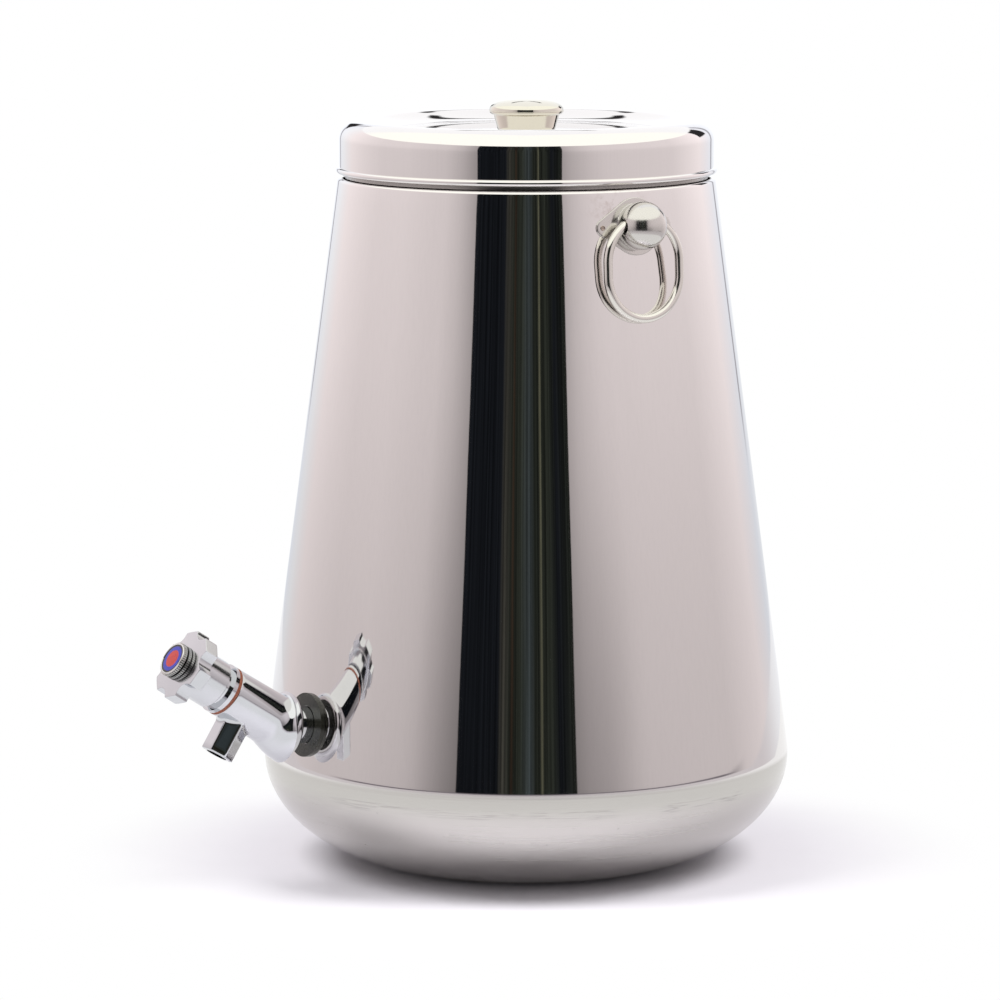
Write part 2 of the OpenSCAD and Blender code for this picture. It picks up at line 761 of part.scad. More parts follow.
module jumper_screw() {
    color("gray") on_barrel() union() {
        bar(jumper_screw_head_r, valve_washer_at - jumper_screw_head_h, valve_washer_at);
        bar(jumper_screw_r, valve_washer_at, jumper_screw_top);
    }
}

// The knob's outline: a hexagon whose corners are scooped out, which leaves a flat-faced lobe on each side
module knob_outline() {
    corner_r = circumradius(2 * knob_lobe_r);
    rotate(knob_rest) difference() {
        circle(r = corner_r, $fn = lobes);
        for (i = [0:lobes - 1])
            rotate(i * 360 / lobes) translate([corner_r, 0]) circle(r = knob_notch_r);
    }
}

module tap_knob() {
    front_slope = (knob_lobe_r - cap_r - knob_fit) / knob_front_h;
    full_r = circumradius(2 * knob_lobe_r);
    color("whitesmoke") on_barrel() difference() {
        union() {
            bar(knob_skirt_r, knob_at, lobe_at + cut);
            intersection() {
                translate([0, 0, lobe_at]) linear_extrude(knob_lobe_len + knob_front_h) knob_outline();
                rotate_extrude() polygon([
                    [0, lobe_at],
                    [knob_lobe_r, lobe_at],
                    [full_r, lobe_at + full_r - knob_lobe_r],
                    [full_r, front_at - (full_r - knob_lobe_r) / front_slope],
                    [cap_r + knob_fit, knob_top],
                    [0, knob_top]
                ]);
            }
        }
        bar(knob_hollow_r, knob_at - cut, drive_at);
        square_bar(drive_w + 2 * knob_fit, drive_at - cut, drive_top + knob_fit);
        bar(knob_screw_r + screw_clear, drive_at, web_top);
        bar(counterbore_r, web_top, knob_top + cut);
    }
}

module knob_screw() {
    color("gray") on_barrel() union() {
        bar(knob_screw_head_r, web_top, web_top + knob_screw_head_h);
        bar(knob_screw_r, web_top - knob_screw_len, web_top);
    }
}

module index_cap() {
    groove_from = knob_top + cap_h / 2 - cap_groove_w / 2;
    color("gainsboro") on_barrel() difference() {
        union() {
            bar(cap_r, knob_top, knob_top + cap_h);
            bar(counterbore_r - knob_fit, knob_top - cap_spigot, knob_top);
        }
        bar(disc_r + knob_fit, disc_at, knob_top + cap_h + cut);
        washer(cap_r - cap_groove, cap_r + cut, groove_from, groove_from + cap_groove_w);
    }
}

module index_disc() {
    color("royalblue") on_barrel() bar(disc_r, disc_at, disc_at + disc_t);
}

base_bowl();
vessel_wall();
neck_collar();
lid_top();
lid_skirt();
lid_knob_cap();
lid_knob_neck();
lid_knob_screw();
lid_knob_washer();
lid_knob_nut();
lug_right();
lug_left();
ring_right();
ring_left();
tap_body();
tap_outer_washer();
tap_inner_washer();
tap_back_nut();
fibre_washer();
bonnet();
spindle();
spindle_o_ring();
spindle_circlip();
jumper();
jumper_washer();
jumper_screw();
tap_knob();
knob_screw();
index_cap();
index_disc();
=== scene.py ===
"""Dresses the packed water container: polished steel vessel and lid, satin ring handles and a chromed tap.

The file is laid out as an add-on and run as a script. Lengths are in metres, in the frame's own axes:
+Z is up, the tap points along -Y and the ring handles hang on the +X and -X sides.
"""
import json
import math

import bmesh
import bpy
from bpy.props import FloatProperty, FloatVectorProperty, IntProperty, PointerProperty
from mathutils import Matrix, Vector


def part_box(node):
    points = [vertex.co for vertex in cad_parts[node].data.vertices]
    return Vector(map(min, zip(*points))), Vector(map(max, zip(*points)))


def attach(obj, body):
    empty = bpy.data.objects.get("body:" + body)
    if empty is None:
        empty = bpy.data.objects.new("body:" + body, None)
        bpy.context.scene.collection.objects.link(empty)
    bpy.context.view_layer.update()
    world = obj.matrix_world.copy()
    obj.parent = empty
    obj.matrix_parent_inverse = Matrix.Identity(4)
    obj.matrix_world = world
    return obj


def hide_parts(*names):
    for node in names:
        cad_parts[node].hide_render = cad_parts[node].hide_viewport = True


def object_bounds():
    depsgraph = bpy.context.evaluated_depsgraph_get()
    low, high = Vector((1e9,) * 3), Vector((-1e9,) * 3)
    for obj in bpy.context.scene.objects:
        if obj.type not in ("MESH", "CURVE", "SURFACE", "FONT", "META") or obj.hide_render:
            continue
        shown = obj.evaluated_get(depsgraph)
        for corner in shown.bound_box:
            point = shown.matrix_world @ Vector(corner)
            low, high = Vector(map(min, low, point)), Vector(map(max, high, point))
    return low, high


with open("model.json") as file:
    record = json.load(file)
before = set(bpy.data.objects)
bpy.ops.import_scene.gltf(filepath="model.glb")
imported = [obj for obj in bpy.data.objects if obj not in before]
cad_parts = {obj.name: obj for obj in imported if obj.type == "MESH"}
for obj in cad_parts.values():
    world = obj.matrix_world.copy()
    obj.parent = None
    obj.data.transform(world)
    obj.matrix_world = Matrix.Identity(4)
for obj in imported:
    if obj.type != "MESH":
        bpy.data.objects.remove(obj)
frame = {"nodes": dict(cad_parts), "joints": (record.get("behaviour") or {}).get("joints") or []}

bl_info = {
    "name": "Water container with tap",
    "version": (1, 0, 0),
    "blender": (4, 5, 0),
    "location": "View3D > Sidebar > Container",
    "description": "Builds the looks of a steel water container with a tap, and its studio",
    "category": "Object",
}

CAD_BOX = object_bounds()
MIDDLE = CAD_BOX[1][2] / 2
MM = 0.001
DEGREE = math.radians(1)
ON_AXIS = 1e-7
SHARP_EDGE = 40 * DEGREE
JOINTS = {joint["name"]: joint for joint in frame["joints"]}

# Steps round each kind of piece, rings on the index disc's face, and points along a ring handle's wire
VESSEL_STEPS = 288
NECK_STEPS = 224
LID_KNOB_STEPS = 128
LUG_STEPS = 144
WELD_STEPS = 32
WIRE_STEPS = 32
TAP_STEPS = 144
BORE_STEPS = 64
KNOB_STEPS = 288
CAP_STEPS = 112
DISC_STEPS = 96
DISC_RINGS = 16
WIRE_POINTS = 192
FLOOR_STEPS = 96
FLOOR_RINGS = 16
STUDIO_STEPS = 96

# Places in the index cap's outline between which its side lies; that side gets painted shade, with some
# grime, between the knurled rows
CAP_SIDE = (3, 9)


# Settings that a user would change


def length(name, description, millimetres):
    size = millimetres * MM
    return FloatProperty(name=name, description=description, default=size, unit="LENGTH", precision=5)


def metres(name, description, default):
    return FloatProperty(name=name, description=description, default=default, unit="LENGTH")


def angle(name, description, degrees):
    return FloatProperty(name=name, description=description, default=math.radians(degrees), subtype="ANGLE")


def share(name, description, default):
    return FloatProperty(
        name=name, description=description, default=default, min=0.0, max=1.0, subtype="FACTOR"
    )


def colour(name, description, default):
    return FloatVectorProperty(
        name=name, description=description, default=default, min=0.0, max=1.0, size=3, subtype="COLOR"
    )


class VesselSettings(bpy.types.PropertyGroup):
    """Sizes and finish of the vessel."""

    belly_radius: length("Belly radius", "Outer radius where the wall runs into the base", 148.9)
    belly_height: length("Belly height", "Height where the wall runs into the base", 66.7)
    taper: angle("Taper", "Lean of the straight wall from the vertical", 7.55)
    foot_radius: length("Foot radius", "Radius of the flat foot", 78.4)
    belly_lead: length("Belly lead", "How far the base curve runs straight on from the wall", 31)
    foot_lead: length("Foot lead", "How far the base curve runs straight on from the foot", 45)
    foot_rise: angle("Foot rise", "Rise of the base curve where it leaves the foot", 8.7)
    seam_at: share("Weld place", "Place of the weld along the base curve, from the belly", 0.16)
    sheet: length("Sheet", "Thickness of the sheet steel", 0.8)
    shoulder_round: length("Shoulder rounding", "Radius of the shoulder under the lid", 3)
    rim_roll: length("Rim roll", "Radius of the rolled rim's section", 1.6)
    steel: colour("Steel", "Colour of the polished steel", (0.80, 0.775, 0.765))
    base_steel: colour("Base steel", "Colour of the spun base", (0.575, 0.555, 0.53))
    # The neck's colour is dark partly for its plain finish and partly as painted shade for the gap under the
    # lid's bead
    shaded_neck_steel: colour("Neck steel", "Colour of the plain neck under the lid", (0.40, 0.385, 0.37))
    heat_tint: colour("Heat tint", "Colour left by welding", (0.44, 0.36, 0.32))
    tint_reach: length("Tint reach", "How far the heat tint beside a lug reaches", 26)
    tint_shift: length("Tint shift", "Distance of the tint's middle beside and above the ring's pivot", 12)
    polish: share("Roughness", "Roughness of the polished wall", 0.032)
    base_polish: share("Base roughness", "Roughness of the spun base", 0.15)
    neck_polish: share("Neck roughness", "Roughness of the plain neck", 0.30)
    ground_polish: share("Ground roughness", "Roughness that grinding adds to the base", 0.06)
    ground_lap: length("Ground lap", "How far each ground band runs on past the weld", 4)
    ground_end: length("Ground end", "Distance of the wall's ground band below the belly", 2)
    ground_start: share("Ground start", "Start of the base's ground band, of the weld's height", 0.4)


class LidSettings(bpy.types.PropertyGroup):
    """Sizes and finish of the lid."""

    sheet: length("Sheet", "Thickness of the lid's sheet steel", 0.7)
    bead: length("Bead", "Radius of the rolled bead at the lid's foot", 1.8)
    crest: length("Crest", "Radius of the rounded crest", 11.5)
    crest_over: angle("Crest overrun", "How far the crest runs on past its top", 30)
    knob_lip: length("Knob lip", "Radius of the knob's rolled-under edge", 2.5)
    knob_foot: length("Knob foot", "Radius of the knob's neck at its foot", 16.5)
    knob_sheet: length("Knob sheet", "Thickness of the knob's sheet steel", 0.8)
    hole: length("Screw hole", "Radius of the hole for the knob's screw", 2.7)
    knob_steel: colour("Knob steel", "Colour of the knob", (0.73, 0.70, 0.62))
    polish: share("Roughness", "Roughness of the polished lid", 0.035)
    knob_polish: share("Knob roughness", "Roughness of the knob", 0.0455)


class HandleSettings(bpy.types.PropertyGroup):
    """Sizes and finish of the lugs and rings."""

    dome: length("Dome radius", "Outer radius of a lug's dome", 13.3)
    sheet: length("Sheet", "Thickness of a lug's sheet steel", 1.0)
    waist: length("Waist", "How much narrower a dome's skirt is than its ball", 1.0)
    offset: length("Dome offset", "Distance of the dome's centre from the wall", 6.992)
    flange: length("Flange radius", "Radius of the flange round the dome", 15.8)
    ear: length("Ear radius", "Radius of the flange's two ears", 5.0)
    ear_at: length("Ear distance", "Distance of an ear's centre from the dome's axis", 19.5)
    hole: length("Ring hole", "Radius of the dome's side holes", 4.081)
    wire: length("Wire radius", "Radius of the ring's wire", 2.5)
    bend: length("Ring bend", "Bend radius of the ring, at the middle of the wire", 23.5)
    straight: length("Ring straight", "Length of the ring's straight sides", 7.5)
    drop: length("Ring drop", "Distance of the upper bend's centre below the pivot", 19.708)
    lean: angle("Ring lean", "Lean of the hanging ring from the vertical", 2.808)
    weld_gap: length("Weld gap", "Gap left by a weld between two sheets", 0.05)
    satin: colour("Satin steel", "Colour of the lugs", (0.65, 0.63, 0.605))
    wire_steel: colour("Wire steel", "Colour of the rings", (0.76, 0.735, 0.69))


class TapSettings(bpy.types.PropertyGroup):
    """Sizes and finish of the tap, along the shank from the wall and along the barrel from the elbow."""

    elbow_at: length("Elbow", "Distance from the wall to the elbow", 19)
    tilt: angle("Barrel tilt", "Upward turn of the barrel from the shank", 25.5)
    bend: length("Elbow easing", "Length over which the elbow eases, to each side", 4.4)
    shank: length("Shank radius", "Radius of the threaded shank", 10.4)
    shank_end: length("Shank end", "Distance of the shank's end inside the wall", 13.8)
    inlet: length("Inlet radius", "Radius of the water way", 7.5)
    bulb: length("Bulb radius", "Radius of the rounded bulb", 18.2)
    bulb_at: length("Bulb place", "Distance from the wall to the bulb", 11)
    bulb_edge: length("Bulb edge", "Rounding of the bulb's edge", 4.25)
    root: length("Barrel root", "Radius of the barrel at the elbow", 15.2)
    mouth: length("Barrel mouth", "Radius of the barrel at its mouth", 14.4)
    barrel: length("Barrel length", "Length of the barrel from the elbow", 39.5)
    chamber: length("Chamber radius", "Radius of the chamber above the valve's seat", 11)
    seat_at: length("Seat place", "Distance of the valve's seat from the elbow", 16.5)
    seat: length("Seat radius", "Radius of the hole in the valve's seat", 5.5)
    spout_at: length("Spout place", "Distance of the spout's axis from the elbow", 25.2)
    spout_flats: length("Spout flats", "Width across the flats of the hexagonal spout", 16.5)
    spout: length("Spout length", "Length of the spout from the barrel's axis", 32.5)
    spout_bore: length("Spout bore", "Radius of the spout's bore", 6)
    spout_fillet: length("Spout fillet", "Rounding between the spout and the barrel", 2.6)
    chrome: colour("Chrome", "Colour of the plated tap", (0.64, 0.65, 0.68))
    rubber: colour("Rubber", "Colour of the rubber washers", (0.020, 0.020, 0.015))
    fibre: colour("Fibre", "Colour of the fibre washer", (0.27, 0.085, 0.045))
    brass: colour("Brass", "Colour of the plain brass pieces", (0.78, 0.60, 0.30))
    fastener: colour("Fastener", "Colour of the screws, nuts and clips", (0.62, 0.62, 0.62))


class KnobSettings(bpy.types.PropertyGroup):
    """Sizes and finish of the tap's knob, along the barrel from the elbow."""

    foot: length("Knob foot", "Where the knob's skirt starts", 47.8)
    skirt: length("Skirt radius", "Radius of the skirt", 14)
    hollow: length("Hollow radius", "Radius of the hollow in the skirt", 12.6)
    lobe_at: length("Lobe place", "Where the lobes start", 63.7)
    front_at: length("Front place", "Where the conical front starts", 72.2)
    top: length("Knob top", "Where the index cap sits", 72.9)
    roof: length("Roof", "Where the hollow in the skirt ends", 58.0)
    web: length("Web", "Where the web under the screw's head ends", 68.2)
    web_thickness: length("Web thickness", "Thickness of that web", 2)
    lobe: length("Lobe distance", "Distance from the axis to the flat of a lobe", 20)
    notch: length("Notch radius", "Radius of the notches between the lobes", 6.5)
    lobes: IntProperty(name="Lobes", description="Number of lobes", default=6, min=3)
    lobe_blend: length("Lobe blend", "Rounding where a lobe runs into a notch", 0.9)
    rest: angle("Rest", "Turn of the notches when the tap is closed", 16)
    cap: length("Cap radius", "Radius over the cap's knurling", 10)
    cap_height: length("Cap height", "Height of the index cap", 6.1)
    disc: length("Disc radius", "Radius of the index disc", 8.4)
    ridges: IntProperty(name="Ridges", description="Number of ridges in a knurled row", default=48, min=8)
    ridge_depth: length("Ridge depth", "Height of a ridge", 0.6)
    ridge_width: length("Ridge width", "Width of a ridge", 0.7)
    cap_steel: colour("Cap steel", "Colour of the index cap", (0.74, 0.73, 0.71))
    field: colour("Disc field", "Colour of the index disc", (0.020, 0.026, 0.36))
    centre: colour("Disc centre", "Colour of the index disc's middle", (0.48, 0.022, 0.014))
    border: colour("Disc border", "Colour of the index disc's edge", (0.012, 0.012, 0.014))


class StageSettings(bpy.types.PropertyGroup):
    """The camera, the floor and the studio round the object."""

    azimuth: angle("Azimuth", "Direction of the camera round the object", 56.8)
    distance: metres("Distance", "Level distance of the camera from the vessel's axis", 2.8315)
    height: metres("Height", "Height of the camera above the floor", 0.6069)
    pitch: angle("Pitch", "How far the camera looks down", 8.08)
    yaw: angle("Yaw", "How far the camera is turned to the left of the axis", 0.302)
    lens: FloatProperty(
        name="Lens", description="Focal length on a 36 mm sensor", default=181.2, unit="CAMERA"
    )
    floor_radius: metres("Floor", "Radius of the floor", 0.65)
    floor: colour("Floor colour", "Colour of the floor", (0.86, 0.835, 0.885))
    wall: colour("Wall colour", "Colour of the studio's walls", (0.80, 0.735, 0.74))
    gap_left: angle("Gap, left", "Left edge of the unlit gap behind the camera", -28.3)
    gap_right: angle("Gap, right", "Right edge of the unlit gap behind the camera", 20.4)
    wall_top: metres("Wall top", "Height of the studio's walls above the floor", 0.84)
    studio_radius: metres("Studio", "Radius of the studio that the steel reflects", 1.1)
    fill: FloatProperty(name="Fill", description="Strength of the light from all round", default=0.46)
    lamp_power: FloatProperty(
        name="Lamps", description="Power of each side lamp", default=26.0, unit="POWER"
    )
    lamp_turn: angle("Lamp turn", "How far each side lamp stands round from the camera", 74)
    lamp_rise: angle("Lamp rise", "Height of the side lamps above the horizon", 54)
    lamp_distance: metres("Lamp distance", "Distance of the side lamps", 2.0)
    lamp_size: metres("Lamp size", "Width of the side lamps", 1.2)


# Points along curves, as (radius, height) pairs


def arc(centre, radius, start, end, steps=12):
    """Points of an arc; the angles are in degrees."""
    turns = [math.radians(start + (end - start) * i / steps) for i in range(steps + 1)]
    return [(centre[0] + radius * math.cos(a), centre[1] + radius * math.sin(a)) for a in turns]


def line(start, end, steps):
    """Points from start to end, without end."""
    return [tuple(a + (b - a) * i / steps for a, b in zip(start, end)) for i in range(steps)]


def bezier(points, u):
    """The point at a share of the way along a curve of four points."""
    a, b, c, d = ((1 - u) ** 3, 3 * u * (1 - u) ** 2, 3 * u * u * (1 - u), u**3)
    return tuple(a * p + b * q + c * r + d * s for p, q, r, s in zip(*points))


def offset(points, distance):
    """Points moved to the left of the way that they run."""
    moved = []
    for i, point in enumerate(points):
        before = Vector(points[max(i - 1, 0)])
        after = Vector(points[min(i + 1, len(points) - 1)])
        along = (after - before).normalized()
        moved.append((point[0] - along.y * distance, point[1] + along.x * distance))
    return moved


def smooth_min(a, b, width):
    """The lesser of two values, rounded where they meet."""
    h = min(max(0.5 + 0.5 * (b - a) / width, 0.0), 1.0)
    return b + (a - b) * h - width * h * (1 - h)


# Meshes


def full_turn(steps):
    """Angles spread evenly round a full turn."""
    return [2 * math.pi * i / steps for i in range(steps)]


def at_turn(radius, turn, height=0.0):
    """The point at a radius and an angle round Z."""
    return Vector((radius * math.cos(turn), radius * math.sin(turn), height))


def rings(outline, steps):
    """A ring of points round Z for each (radius, height) pair, and a pole for a pair on the axis."""
    turns = full_turn(steps)
    rows = []
    for radius, height in outline:
        pole = radius < ON_AXIS
        rows.append([Vector((0, 0, height))] if pole else [at_turn(radius, a, height) for a in turns])
    return rows


def new_object(name, mesh, material):
    """An object of one material in the scene."""
    piece = bpy.data.objects.new(name, mesh)
    bpy.context.scene.collection.objects.link(piece)
    mesh.materials.clear()
    mesh.materials.append(material)
    return piece


def smooth(mesh):
    """Smooth shading that keeps the sharp edges."""
    mesh.shade_smooth()
    mesh.set_sharp_from_angle(angle=SHARP_EDGE)


def ring_mesh(name, rows, closed=False):
    """A mesh from rows of points, where each row is a ring and a row of one point is a pole.

    The UV map runs round the rings and along the rows.
    """
    vertices, faces, uvs, starts = [], [], [], []
    for row in rows:
        starts.append(len(vertices))
        vertices.extend(row)
    columns = max(len(row) for row in rows)
    pairs = [(i, i + 1) for i in range(len(rows) - 1)]
    if closed:
        pairs.append((len(rows) - 1, 0))
    for low, high in pairs:
        poles = (len(rows[low]) == 1, len(rows[high]) == 1)
        if all(poles):
            continue
        v0, v1 = low / len(rows), (low + 1) / len(rows)
        for i in range(columns):
            j = (i + 1) % columns
            u0, u1 = i / columns, (i + 1) / columns
            corners = [(starts[low] + i, u0, v0), (starts[low] + j, u1, v0)]
            corners += [(starts[high] + j, u1, v1), (starts[high] + i, u0, v1)]
            if poles[0]:
                corners = [(starts[low], (u0 + u1) / 2, v0)] + corners[2:]
            if poles[1]:
                corners = corners[:2] + [(starts[high], (u0 + u1) / 2, v1)]
            faces.append([index for index, _, _ in corners])
            uvs.extend((u, v) for _, u, v in corners)
    mesh = bpy.data.meshes.new(name)
    mesh.from_pydata(vertices, [], faces)
    layer = mesh.uv_layers.new(name="UVMap")
    layer.data.foreach_set("uv", [value for uv in uvs for value in uv])
    shell = bmesh.new()
    shell.from_mesh(mesh)
    bmesh.ops.recalc_face_normals(shell, faces=shell.faces)
    shell.to_mesh(mesh)
    shell.free()
    smooth(mesh)
    return mesh


def turned(name, outline, material, steps, place=Matrix.Identity(4)):
    """A turned piece about Z from a closed outline; a point on the axis becomes a pole."""
    mesh = ring_mesh(name, rings(outline, steps), closed=True)
    mesh.transform(place)
    return new_object(name, mesh, material)


def baked(piece):
    """Turns a piece's modifiers into its plain mesh."""
    depsgraph = bpy.context.evaluated_depsgraph_get()
    mesh = bpy.data.meshes.new_from_object(piece.evaluated_get(depsgraph), depsgraph=depsgraph)
    piece.modifiers.clear()
    piece.data = mesh
    mesh.name = piece.name
    return piece


def combine(piece, tool, operation):
    """Joins a tool to a piece or cuts it out of the piece, and removes the tool."""
    modifier = piece.modifiers.new("combine", "BOOLEAN")
    modifier.object = tool
    modifier.operation = operation
    modifier.solver = "EXACT"
    baked(piece)
    bpy.data.objects.remove(tool)
    smooth(piece.data)
    return piece


def rod(name, radius, start, end, place, material):
    """A plain round bar along the Z axis of a place."""
    outline = [(0, start), (radius, start), (radius, end), (0, end)]
    return turned(name, outline, material, BORE_STEPS, place)


def settle(piece, body, slot, *nodes):
    """Ties a finished piece to its body and hides the CAD nodes that it stands for; the slot is not used."""
    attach(piece, body)
    if nodes:
        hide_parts(*nodes)
    return piece


def dress(node, material):
    """Gives a CAD node that stays a material."""
    mesh = frame["nodes"][node].data
    if not mesh.materials:
        mesh.materials.append(material)
    for slot in frame["nodes"][node].material_slots:
        slot.material = material


# Node trees


class Tree:
    """Adds nodes to a tree and links them by socket name."""

    def __init__(self, tree):
        self.tree = tree

    def add(self, kind, inputs=None, **settings):
        node = self.tree.nodes.new(kind)
        for name, value in settings.items():
            setattr(node, name, value)
        for key, value in (inputs or {}).items():
            socket = node.inputs[key]
            if isinstance(value, bpy.types.NodeSocket):
                self.tree.links.new(value, socket)
            else:
                socket.default_value = value
        return node

    def maths(self, operation, first, second=0.0, third=0.0):
        inputs = {0: first, 1: second, 2: third}
        return self.add("ShaderNodeMath", inputs, operation=operation).outputs[0]

    def times(self, first, second):
        return self.maths("MULTIPLY", first, second)

    def apart(self, first, second):
        """How far two values are apart."""
        return self.maths("ABSOLUTE", self.maths("SUBTRACT", first, second))

    def remap(self, value, low, high, to_low=0.0, to_high=1.0):
        inputs = {"Value": value, 1: low, 2: high, 3: to_low, 4: to_high}
        return self.add("ShaderNodeMapRange", inputs, interpolation_type="SMOOTHSTEP").outputs[0]

    def mix(self, factor, first, second, blend="MIX"):
        inputs = {0: factor, 6: first, 7: second}
        return self.add("ShaderNodeMix", inputs, data_type="RGBA", blend_type=blend).outputs[2]

    def ramp(self, value, stops):
        """A colour ramp from (position, colour) pairs."""
        node = self.add("ShaderNodeValToRGB", {0: value})
        marks = node.color_ramp.elements
        while len(marks) < len(stops):
            marks.new(1.0)
        for mark, (position, tone) in zip(marks, stops):
            mark.position = position
            mark.color = rgba(tone)
        return node.outputs[0]

    def stretched_noise(self, vector, stretch, detail=2.0, roughness=0.5):
        inputs = {0: vector, 1: stretch}
        scaled = self.add("ShaderNodeVectorMath", inputs, operation="MULTIPLY").outputs[0]
        inputs = {"Vector": scaled, "Scale": 1.0, "Detail": detail, "Roughness": roughness}
        return self.add("ShaderNodeTexNoise", inputs).outputs[0]

    def distance(self, vector, centre):
        inputs = {0: vector, 1: centre}
        return self.add("ShaderNodeVectorMath", inputs, operation="DISTANCE").outputs["Value"]

    def bump(self, height, depth, normal=None):
        inputs = {"Height": height, "Distance": depth, "Strength": 1.0}
        if normal:
            inputs["Normal"] = normal
        return self.add("ShaderNodeBump", inputs).outputs[0]


def rgba(values, factor=1.0):
    """A colour for a socket, made lighter or darker by a factor."""
    return tuple(value * factor for value in values[:3]) + (1.0,)


def new_material(name):
    """An empty material's tree, its shader and its object coordinates."""
    material = bpy.data.materials.new(name)
    material.use_nodes = True
    tree = Tree(material.node_tree)
    shader = material.node_tree.nodes["Principled BSDF"]
    position = tree.add("ShaderNodeTexCoord").outputs["Object"]
    return material, tree, shader, position


def link(tree, socket, shader, name):
    tree.tree.links.new(socket, shader.inputs[name])


# Finishes


def ground_band(tree, position, around, tone, ground, base, rough):
    """A sheet's colour and roughness with a ground band and the outlines of its flattened weld."""
    low, high, ground_tone, ground_polish, weld = ground
    specks = tree.stretched_noise(position, (420, 420, 420), 1.0)
    height = tree.add("ShaderNodeSeparateXYZ", {0: position}).outputs[2]
    fade_in, fade_out, core, reach = 4 * MM, 3 * MM, 1.5 * MM, 3.5 * MM
    rise = tree.remap(height, low, low + fade_in)
    band = tree.times(rise, tree.remap(height, high - fade_out, high, 1.0, 0.0))
    worn = tree.times(band, tree.remap(around, 0.35, 0.7, 0.6, 1.0))
    rough = tree.maths("MULTIPLY_ADD", worn, ground_polish, rough)
    base = tree.mix(band, base, rgba(ground_tone))
    base = tree.mix(tree.times(band, tree.remap(specks, 0.76, 0.82)), base, rgba(tone, 0.7))

    ripple = tree.stretched_noise(position, (20, 20, 620), 3.0, 0.6)
    outline = tree.remap(tree.apart(ripple, 0.5), 0.0, 0.05, 0.32, 0.0)
    beside = tree.remap(tree.apart(height, weld), core, reach, 1.0, 0.0)
    runs = tree.remap(tree.stretched_noise(position, (14, 14, 14), 1.0), 0.50, 0.62)
    marks = tree.times(outline, tree.times(beside, runs))
    return tree.mix(marks, base, rgba(ground_tone, 0.35)), rough


def sheet_steel(name, tone, polish, waves, streaks, tints=(), ground=None):
    """Polished sheet steel: clouded polish, fine streaks round and along the sheet, and a slow waviness.

    Each tint is a (centre, reach, colour) of heat left by a weld. A ground band is a (low, high, colour,
    roughness, weld) tuple: between the first two heights the sheet is ground round the vessel, and has that
    colour and roughness, and the outlines of the flattened weld show in places at the last height.
    """
    material, tree, shader, position = new_material(name)
    cloud = tree.stretched_noise(position, (11, 11, 7), 5.0, 0.6)
    along = tree.stretched_noise(position, (900, 900, 5), 3.0)
    around = tree.stretched_noise(position, (4, 4, 1500), 3.0)
    slow = tree.stretched_noise(position, (16, 16, 5), 1.0)

    base = tree.mix(cloud, rgba(tone, 0.965), rgba(tone, 1.02))
    base = tree.mix(tree.remap(along, 0.35, 0.75, 0.0, 0.10), base, rgba(tone, 0.86))
    for centre, reach, tint in tints:
        near = tree.remap(tree.distance(position, centre), 0.0, reach, 1.0, 0.0)
        patches = tree.remap(tree.stretched_noise(position, (120, 120, 160), 4.0, 0.7), 0.45, 0.75)
        base = tree.mix(tree.times(near, patches), base, rgba(tint))
    rough = tree.remap(cloud, 0.3, 0.75, 0.75 * polish, 1.35 * polish)
    rough = tree.maths("MULTIPLY_ADD", tree.remap(around, 0.45, 0.8), 0.35 * polish, rough)
    if ground:
        base, rough = ground_band(tree, position, around, tone, ground, base, rough)
    link(tree, base, shader, "Base Color")
    link(tree, rough, shader, "Roughness")
    fine = tree.maths("ADD", tree.times(along, 0.6), around)
    link(tree, tree.bump(fine, streaks, tree.bump(slow, waves)), shader, "Normal")
    shader.inputs["Metallic"].default_value = 1.0
    shader.inputs["Anisotropic"].default_value = 0.55
    shader.inputs["Anisotropic Rotation"].default_value = 0.25
    tangent = tree.add("ShaderNodeTangent", direction_type="UV_MAP", uv_map="UVMap").outputs[0]
    link(tree, tangent, shader, "Tangent")
    return material


def satin_metal(name, tone, polish, grain, stretch, shade_and_grime=None):
    """Satin or bright metal with a fine grain: a stretch gives the grain's direction.

    A (start, end, colour) tuple of painted shade with some grime: it lies between two shares of the way
    along a turned outline.
    """
    material, tree, shader, position = new_material(name)
    lines = tree.stretched_noise(position, stretch, 3.0)
    cloud = tree.stretched_noise(position, (60, 60, 60), 4.0, 0.6)
    base = tree.mix(cloud, rgba(tone, 0.93), rgba(tone, 1.03))
    if shade_and_grime:
        # Painted shade with some grime: the dark colour lies between the two shares of the outline's way
        start, end, shade_and_grime_tone = shade_and_grime
        mapped = tree.add("ShaderNodeUVMap", uv_map="UVMap").outputs[0]
        way = tree.add("ShaderNodeSeparateXYZ", {0: mapped}).outputs[1]
        past, before = tree.maths("GREATER_THAN", way, start), tree.maths("LESS_THAN", way, end)
        base = tree.mix(tree.times(past, before), base, rgba(shade_and_grime_tone))
    link(tree, base, shader, "Base Color")
    rough = tree.remap(cloud, 0.3, 0.7, 0.8 * polish, 1.25 * polish)
    link(tree, tree.maths("MULTIPLY_ADD", lines, 0.3 * polish, rough), shader, "Roughness")
    link(tree, tree.bump(lines, grain), shader, "Normal")
    shader.inputs["Metallic"].default_value = 1.0
    return material


def rubber(name, tone):
    """Moulded black rubber with a powdery grain."""
    material, tree, shader, position = new_material(name)
    grain = tree.stretched_noise(position, (1400, 1400, 1400), 3.0)
    bloom = tree.stretched_noise(position, (150, 150, 150), 4.0)
    link(tree, tree.mix(tree.remap(bloom, 0.45, 0.8), rgba(tone), rgba(tone, 2.2)), shader, "Base Color")
    link(tree, tree.remap(bloom, 0.2, 0.8, 0.18, 0.30), shader, "Roughness")
    link(tree, tree.bump(grain, 0.03 * MM), shader, "Normal")
    return material


